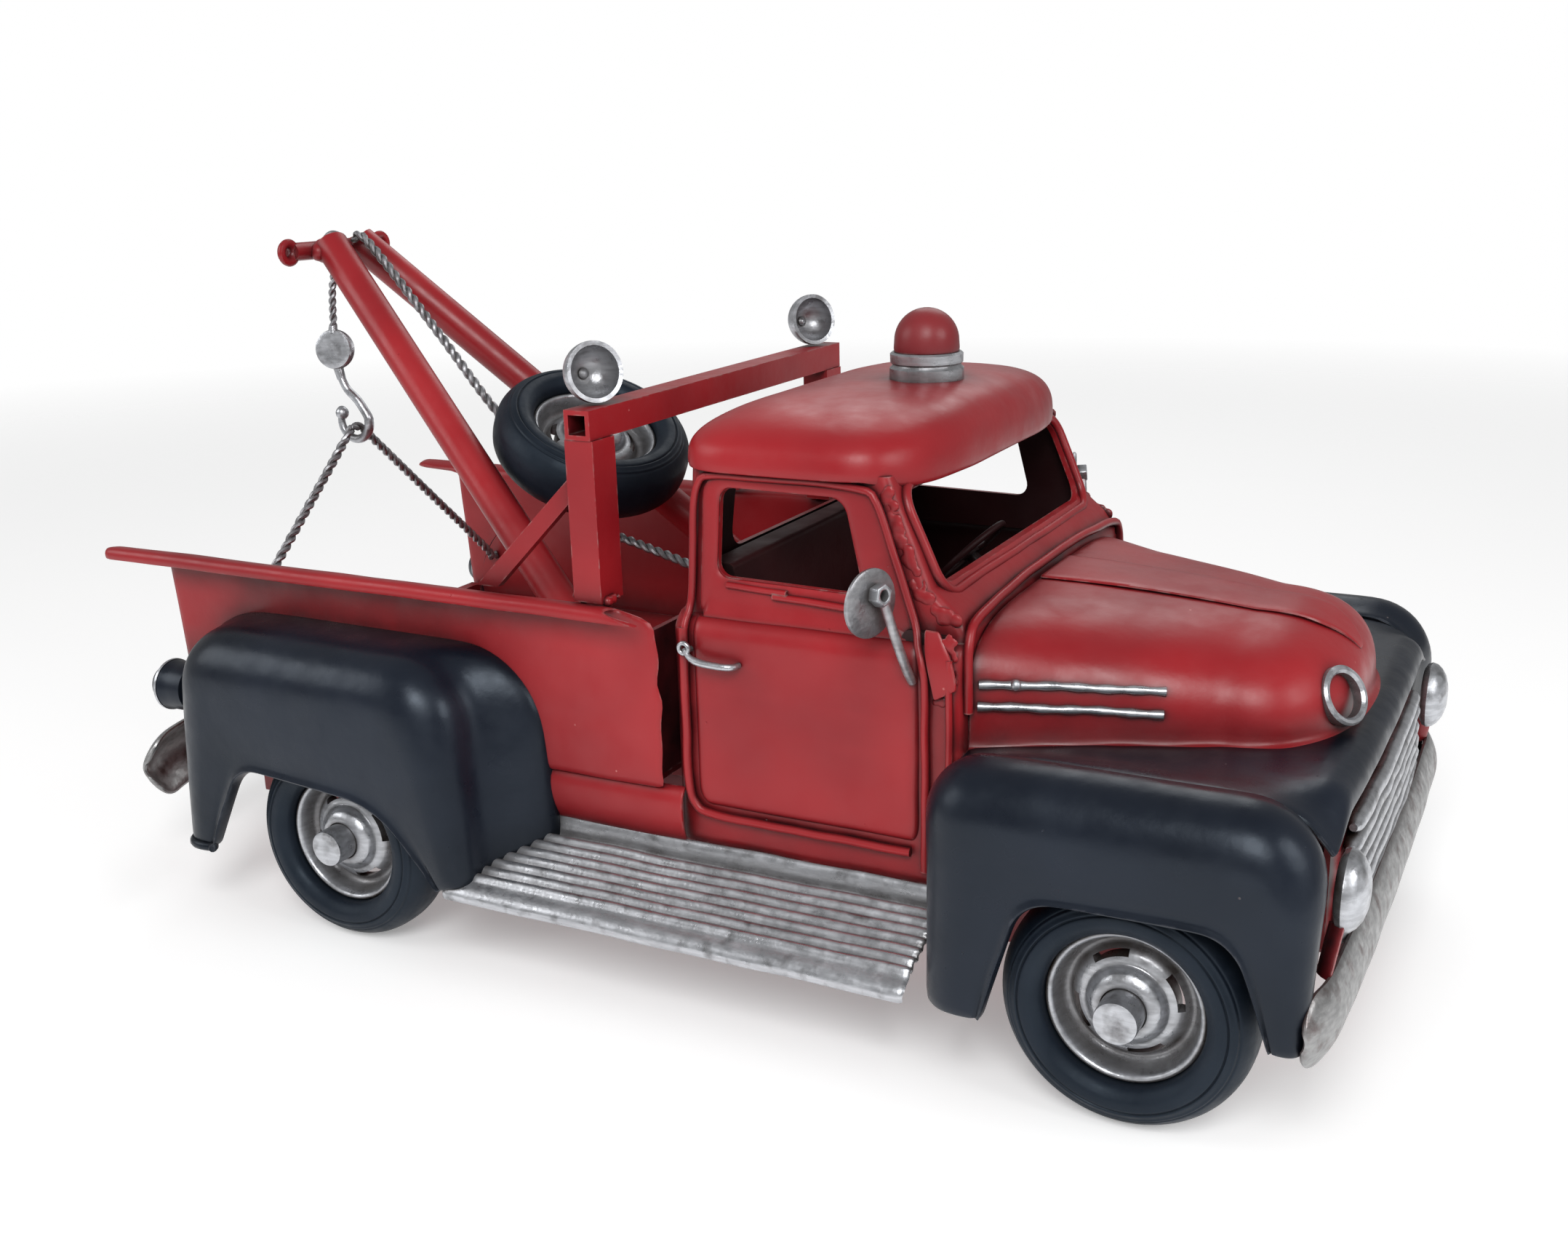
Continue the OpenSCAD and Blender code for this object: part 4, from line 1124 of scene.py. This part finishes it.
def bed_sills():
    """Rolled body sill that carries the door sill's line on under the bed side."""
    section = [(BED_Y - 1.2, 44.5), (BED_Y + 0.6, 43.6), (BED_Y + 1.5, 41.2), (BED_Y + 1.5, 37.5),
               (BED_Y + 0.9, 34), (BED_Y - 0.6, 31.5)]
    spans = [(-24, BED_FRONT + 7.2) for _ in section]
    pair(swept("bed_sill_right_roll", section, spans, RED, 43, thickness=0.8, amount=0.2))


def tail_lights():
    """Black lamp cans with a stepped rim, a domed lens and a silvered ring."""
    lo, hi = low("tail_lamps"), high("tail_lamps")
    place = axis_frame((hi[0], lo[1] + 6, centre("tail_lamps")[2]), (-1, 0, 0))
    length = hi[0] - lo[0]
    can = [(0, 0), (4.6, 0), (5.6, 0.6), (5.8, 4), (5.8, length - 5.6), (6.0, length - 5.0),
           (6.0, length - 4.2), (5.5, length - 3.9)]
    lens = [(5.3, length - 4.0), (5.2, length - 3.2), (4.2, length - 1.4), (2.4, length - 0.3), (0, length)]
    pair(lathe("tail_lamp_right", can + lens, place, BLACK, 48, closed=False), "tail_lamps")
    ring = [(5.5, length - 4.3), (6.15, length - 4.6), (6.2, length - 4.0), (5.6, length - 3.5),
            (5.2, length - 3.6)]
    pair(lathe("tail_lamp_ring_right", ring, place, SILVER, 48))


# ---------- crane and hook line ----------

def twisted(name, path, material, pitch=5.2, strand_r=0.68, spread=0.52):
    """Two strands wound round each other along a path."""
    path = spline(path, 0.45)
    length = np.concatenate([[0], np.cumsum(np.linalg.norm(np.diff(path, axis=0), axis=1))])
    tangent = np.gradient(path, axis=0)
    tangent = tangent / np.linalg.norm(tangent, axis=1, keepdims=True)
    side = unit(np.cross(tangent[0], ANY_SIDE))
    strands = [[], []]
    for p, t, run in zip(path, tangent, length):
        side = unit(side - t * (side @ t))
        up = np.cross(t, side)
        turn = 2 * pi * run / pitch
        for k, strand in enumerate(strands):
            a = turn + pi * k
            strand.append(p + spread * (side * cos(a) + up * sin(a)))
    return join(name, [tube(f"{name}_{k}", s, strand_r, material, 8) for k, s in enumerate(strands)])


def boom_head():
    """Head pin with an eye at each end, soldered to the boom tubes."""
    pin = centre("boom_head")
    half = high("boom_head")[1] - 3.2
    line = [pin + np.array([0, y, 0]) for y in np.linspace(-half, half, 20)]
    parts = [tube("pin", line, 2.2, RED, 20, amount=0.15)]
    eye_r = 2.1
    for sign in (RIGHT, LEFT):
        ring = []
        for a in np.linspace(0, 2 * pi, 29)[:-1]:
            out = sign * (half + 1.4) + eye_r * cos(a)
            ring.append(pin + np.array([0, out, eye_r * sin(a)]))
        parts.append(tube(f"eye_{sign}", ring, 1.0, RED, 12, flatten=1.4, closed=True))
    piece(join("boom_head_pin", parts), "boom_head")
    lumps = []
    for y in (-8.5, -6.5, -4.8, 4.8, 6.5, 8.5):
        lumps.append((pin[0] + 2.5, y, pin[2] + 0.6 - 0.12 * abs(y), 2.6 + 0.5 * cos(y)))
    piece(blob("boom_head_solder", lumps, RED, 0.4))


def boom_cable():
    """Cable from the boom head down between the tubes to the bed's front wall."""
    lo, hi = low("boom_cable"), high("boom_cable")
    path = [(-109.6, 0, 151.2), (-105, 0, 150.6), (-85, 0, 128.4), (-71, 0, 112), (-52, 0, 93),
            (-40, 0, 83.4), (-28, 0, 79.6), (-18, 0, 77), (hi[0] - 0.4, 0, lo[2] + 0.6)]
    piece(twisted("boom_cable_twist", path, WIRE), "boom_cable")


def hanging_cable(pin):
    """Eye round the head pin and the short twisted cable below it."""
    loop_r = (high("hanging_cable") - low("hanging_cable"))[0] / 2 - WIRE_R
    turns = np.linspace(0, 2 * pi, 41)[:-1]
    ring = [pin + loop_r * np.array([sin(a), 0, cos(a)]) for a in turns]
    eye = tube("eye", ring, 0.95, WIRE, 10, closed=True)
    block_top = high("pulley_block")[2]
    path = [pin + np.array([0, 0, -loop_r - 0.3]), (-118.2, 0, 139), (-119.2, 0, block_top + 0.2)]
    line = twisted("line", path, WIRE, pitch=4.2, strand_r=0.55, spread=0.45)
    piece(join("hanging_cable_twist", [eye, line]), "hanging_cable", body="hook_line")


def pulley_block():
    """Grooved disc between two short necks."""
    spot = np.array([-119.4, 0, 123.6])
    place = axis_frame(spot, (0.25, -1, 0.1))
    profile = [(0, -1.5), (3.6, -1.6), (4.8, -1.3), (5.0, -0.7), (4.3, 0), (5.0, 0.7), (4.8, 1.3),
               (3.6, 1.6), (1.4, 1.3), (0, 1.2)]
    disc = lathe("disc", profile, place, SILVER, 48, closed=False)
    top = tube("top", [spot + np.array([0, 0, z]) for z in (4.2, 5.4, 6.4)], [1.3, 1.1, 0.8], SILVER, 10)
    stem = [spot + np.array([x, 0, z]) for x, z in ((0.3, -4), (0.8, -6), (1.2, -7.6))]
    foot = tube("foot", stem, [1.3, 1.2, 1.1], SILVER, 10)
    piece(join("pulley_block_disc", [disc, top, foot]), "pulley_block", body="hook_line")


def tow_hook():
    """Bent hook with a blob of solder on its tip."""
    bowl_r = 4.6
    bowl = np.array([-115, 0, low("tow_hook")[2] + bowl_r + WIRE_R])
    path = [(-118.3, 0, 116.4), (-116.6, 0, 113.4), (-113.4, 0, 110.6)]
    for a in np.radians(np.arange(20, -215, -15)):
        path.append(bowl + bowl_r * np.array([cos(a), 0, sin(a)]))
    path = spline(path, 0.6)
    radius = np.interp(np.linspace(0, 1, len(path)), [0, 0.5, 0.9, 1], [1.0, 1.25, 0.95, 0.85])
    hook = tube("bend", path, radius, SILVER, 14)
    tip = path[-1]
    ball = blob("ball", [(*tip, 1.75), (*(tip + np.array([-0.3, 0.3, 0.5])), 1.4)], SILVER, 0.3)
    piece(join("tow_hook_bend", [hook, ball]), "tow_hook", body="hook_line")


def sling():
    """Two-legged wire from bore to bore, over the hook."""
    end_y = high("sling_wire")[1]
    z0, top = low("sling_wire")[2] + WIRE_R, high("sling_wire")[2] - WIRE_R
    x = centre("sling_wire")[0]
    leg = [(x, -end_y, z0), (x, -end_y + 2.6, z0 + 0.1), (x, -end_y + 4.6, z0 + 3), (x, -26, z0 + 24.5),
           (x, -4.6, top - 2.6), (x, -1.6, top)]
    path = leg + [(x, -y, z) for x, y, z in reversed(leg)]
    piece(twisted("sling_wire_twist", path, WIRE), "sling_wire", body="sling")


SPOT_FACING = (0.85, -0.49, 0.17)


def spotlights():
    """Polished bowls with a small bulb, both turned the same way."""
    lo, hi = low("spotlights"), high("spotlights")
    r = (hi[2] - lo[2]) / 2
    spot = np.array([centre("spotlights")[0], lo[1] + r, centre("spotlights")[2]])
    angles = np.radians(np.linspace(0, 96, 15))
    outer = [(r * sin(a), -r * cos(a)) for a in angles]
    inner = [((r - 0.9) * sin(a), -(r - 0.9) * cos(a)) for a in angles[::-1]]
    bead = [(0, -r + 0.7), (1.0, -r + 0.8), (1.1, -r + 1.4), (0.6, -r + 1.8), (0, -r + 1.9)]
    for side, y in (("right", spot[1]), ("left", -spot[1])):
        place = axis_frame((spot[0], y, spot[2]), SPOT_FACING)
        bowl = lathe("bowl", outer + inner, place, SILVER, 64, closed=False)
        bulb = lathe("bulb", bead, place, SILVER, 24, closed=False)
        nodes = ["spotlights"] if side == "right" else []
        piece(join(f"spotlight_{side}", [bowl, bulb]), *nodes)


def beacon():
    """Turned collar with a groove, under a round-topped dome."""
    base = centre("beacon_collar")
    foot, r = low("beacon_collar")[2], high("beacon_collar")[1]
    rise = high("beacon_collar")[2] - foot
    turned = [(0, -0.6), (r - 0.1, -0.6), (r + 0.05, 0.3), (r, 2.2), (r - 0.5, 2.6), (r - 0.6, 3.0),
              (r - 0.15, 3.4), (r - 0.1, rise - 0.4), (r - 0.6, rise), (0, rise)]
    place = Matrix.Translation((base[0], 0, foot))
    piece(lathe("beacon_collar_ring", turned, place, SILVER, 72, closed=False), "beacon_collar")
    foot, r = low("beacon_dome")[2], high("beacon_dome")[1]
    rise = high("beacon_dome")[2] - foot
    curve = [(r * cos(a), rise - r + r * sin(a)) for a in np.radians(np.linspace(0, 90, 14))]
    curve[-1] = (0, rise - 0.35)
    place = Matrix.Translation((base[0], 0, foot))
    curve = [(0, 0), (r, 0), (r + 0.1, 0.7)] + curve
    piece(lathe("beacon_dome_cap", curve, place, DEEP_RED, 72, closed=False), "beacon_dome")


# ---------- carried-over CAD nodes ----------

def dress_frame():
    """CAD nodes get their slot's finish, the bed's front wall a darker red as painted shade, and those that
    stay in sight slightly worn edges.
    """
    slots = {part["node"]: part["material_slot"] for part in frame["record"]["subparts"]}
    edge_width = {"crane_posts": 0.5, "crossbeam": 0.45, "crane_braces": 0.5, "bed_rear_sill": 0.3,
                  "bench_seat": 0.8}
    for name, node in frame["nodes"].items():
        node.data.materials.clear()
        # The bed's front wall takes the darker red as painted shade in the shadowed gap between the bed and
        # the cab.
        node.data.materials.append(DEEP_RED if name == "bed_front_wall" else FINISH[slots[name]])
        for polygon in node.data.polygons:
            polygon.material_index = 0
        if name in edge_width:
            bevel(node, edge_width[name])


# ---------- studio ----------

def studio():
    """Pale floor, a world that the camera sees as white but that lights softly, and four area lights."""
    floor_points = [(x, y, -0.05) for x in (-3000, 3000) for y in (-3000, 3000)]
    floor = new_object("floor", floor_points, [(0, 1, 3, 2)], floor_material())
    world = bpy.data.worlds.new("studio")
    bpy.context.scene.world = world
    world.use_nodes = True
    background = world.node_tree.nodes["Background"]
    background.inputs["Color"].default_value = (1, 1, 1, 1)
    seen = world.node_tree.nodes.new("ShaderNodeLightPath").outputs["Is Camera Ray"]
    strength = world.node_tree.nodes.new("ShaderNodeMapRange")
    strength.inputs["To Min"].default_value = 0.33
    strength.inputs["To Max"].default_value = 1.0
    world.node_tree.links.new(seen, strength.inputs["Value"])
    world.node_tree.links.new(strength.outputs[0], background.inputs["Strength"])
    area_light("key", (250, -590, 540), (0, 0, 60), 330, 3.5)
    area_light("left_fill", (-620, -420, 420), (-40, 0, 70), 380, 1.3)
    area_light("front_fill", (640, -120, 380), (80, 0, 60), 300, 1.2)
    area_light("back_rim", (-120, 560, 560), (0, 0, 80), 420, 0.9)


def area_light(name, position, target, size, power):
    light = bpy.data.lights.new(name, "AREA")
    light.size = size * MM
    light.energy = power
    obj = bpy.data.objects.new(name, light)
    obj.location = Vector(position) * MM
    aim = Vector(target) - Vector(position)
    obj.rotation_euler = aim.to_track_quat("-Z", "Y").to_euler()
    bpy.context.scene.collection.objects.link(obj)


def floor_material():
    """Pale paper that fades into the background away from the truck."""
    s = Shader("floor_paper")
    distance = s.node("ShaderNodeVectorMath", operation="LENGTH")
    s.feed(distance.inputs[0], s.place)
    fade = s.ramp(distance.outputs["Value"], 0.35, 1.1)
    s.finish((0.93, 0.93, 0.93), 0.75)
    s.feed(s.surface.inputs["Emission Color"], (1, 1, 1))
    s.surface.inputs["Emission Strength"].default_value = 0.28
    clear = s.node("ShaderNodeBsdfTransparent")
    blend = s.node("ShaderNodeMixShader")
    output = next(n for n in s.tree.nodes if n.type == "OUTPUT_MATERIAL")
    s.feed(blend.inputs[0], fade)
    s.feed(blend.inputs[1], s.surface.outputs[0])
    s.feed(blend.inputs[2], clear.outputs[0])
    s.feed(output.inputs["Surface"], blend.outputs[0])
    return s.material


def camera():
    """Three-quarter view from the truck's front right, a little above the roof."""
    position = Vector((180.5, -324.6, 173.57))
    forward = Vector((-0.44184, 0.85090, -0.28416)).normalized()
    up = Vector((-0.10884, 0.26357, 0.95848))
    data = bpy.data.cameras.new("view")
    data.sensor_width = 36
    data.lens = 37.74
    data.shift_x, data.shift_y = -0.0071, -0.0031
    data.clip_start = 0.01
    side = forward.cross(up).normalized()
    up = side.cross(forward)
    turn = Matrix((side, up, -forward)).transposed().to_4x4()
    obj = bpy.data.objects.new("view", data)
    obj.matrix_world = Matrix.Translation(position * MM) @ turn
    bpy.context.scene.collection.objects.link(obj)
    bpy.context.scene.camera = obj


dress_frame()
wheels()
front_fenders()
rear_fenders()
hood()
hood_panel()
badge()
trims()
deck()
bars()
bumper("front_bumper", high("front_bumper")[0] - 0.6, 2600, FENDER_Y, 7.2, 28.4, 2.6, 3.6, 1)
bumper("rear_bumper", -low("rear_bumper")[0], 190, high("rear_bumper")[1] + 4, 8.6, 28.2, 6, 1.8, -1)
headlights()
cab_shell()
roof()
doors()
beads()
solder()
handles()
mirrors()
running_boards()
bed_sides()
bed_sills()
tail_lights()
boom_head()
boom_cable()
hanging_cable(centre("boom_head"))
pulley_block()
tow_hook()
sling()
spotlights()
beacon()
studio()
camera()
bpy.context.scene.view_settings.view_transform = "Standard"
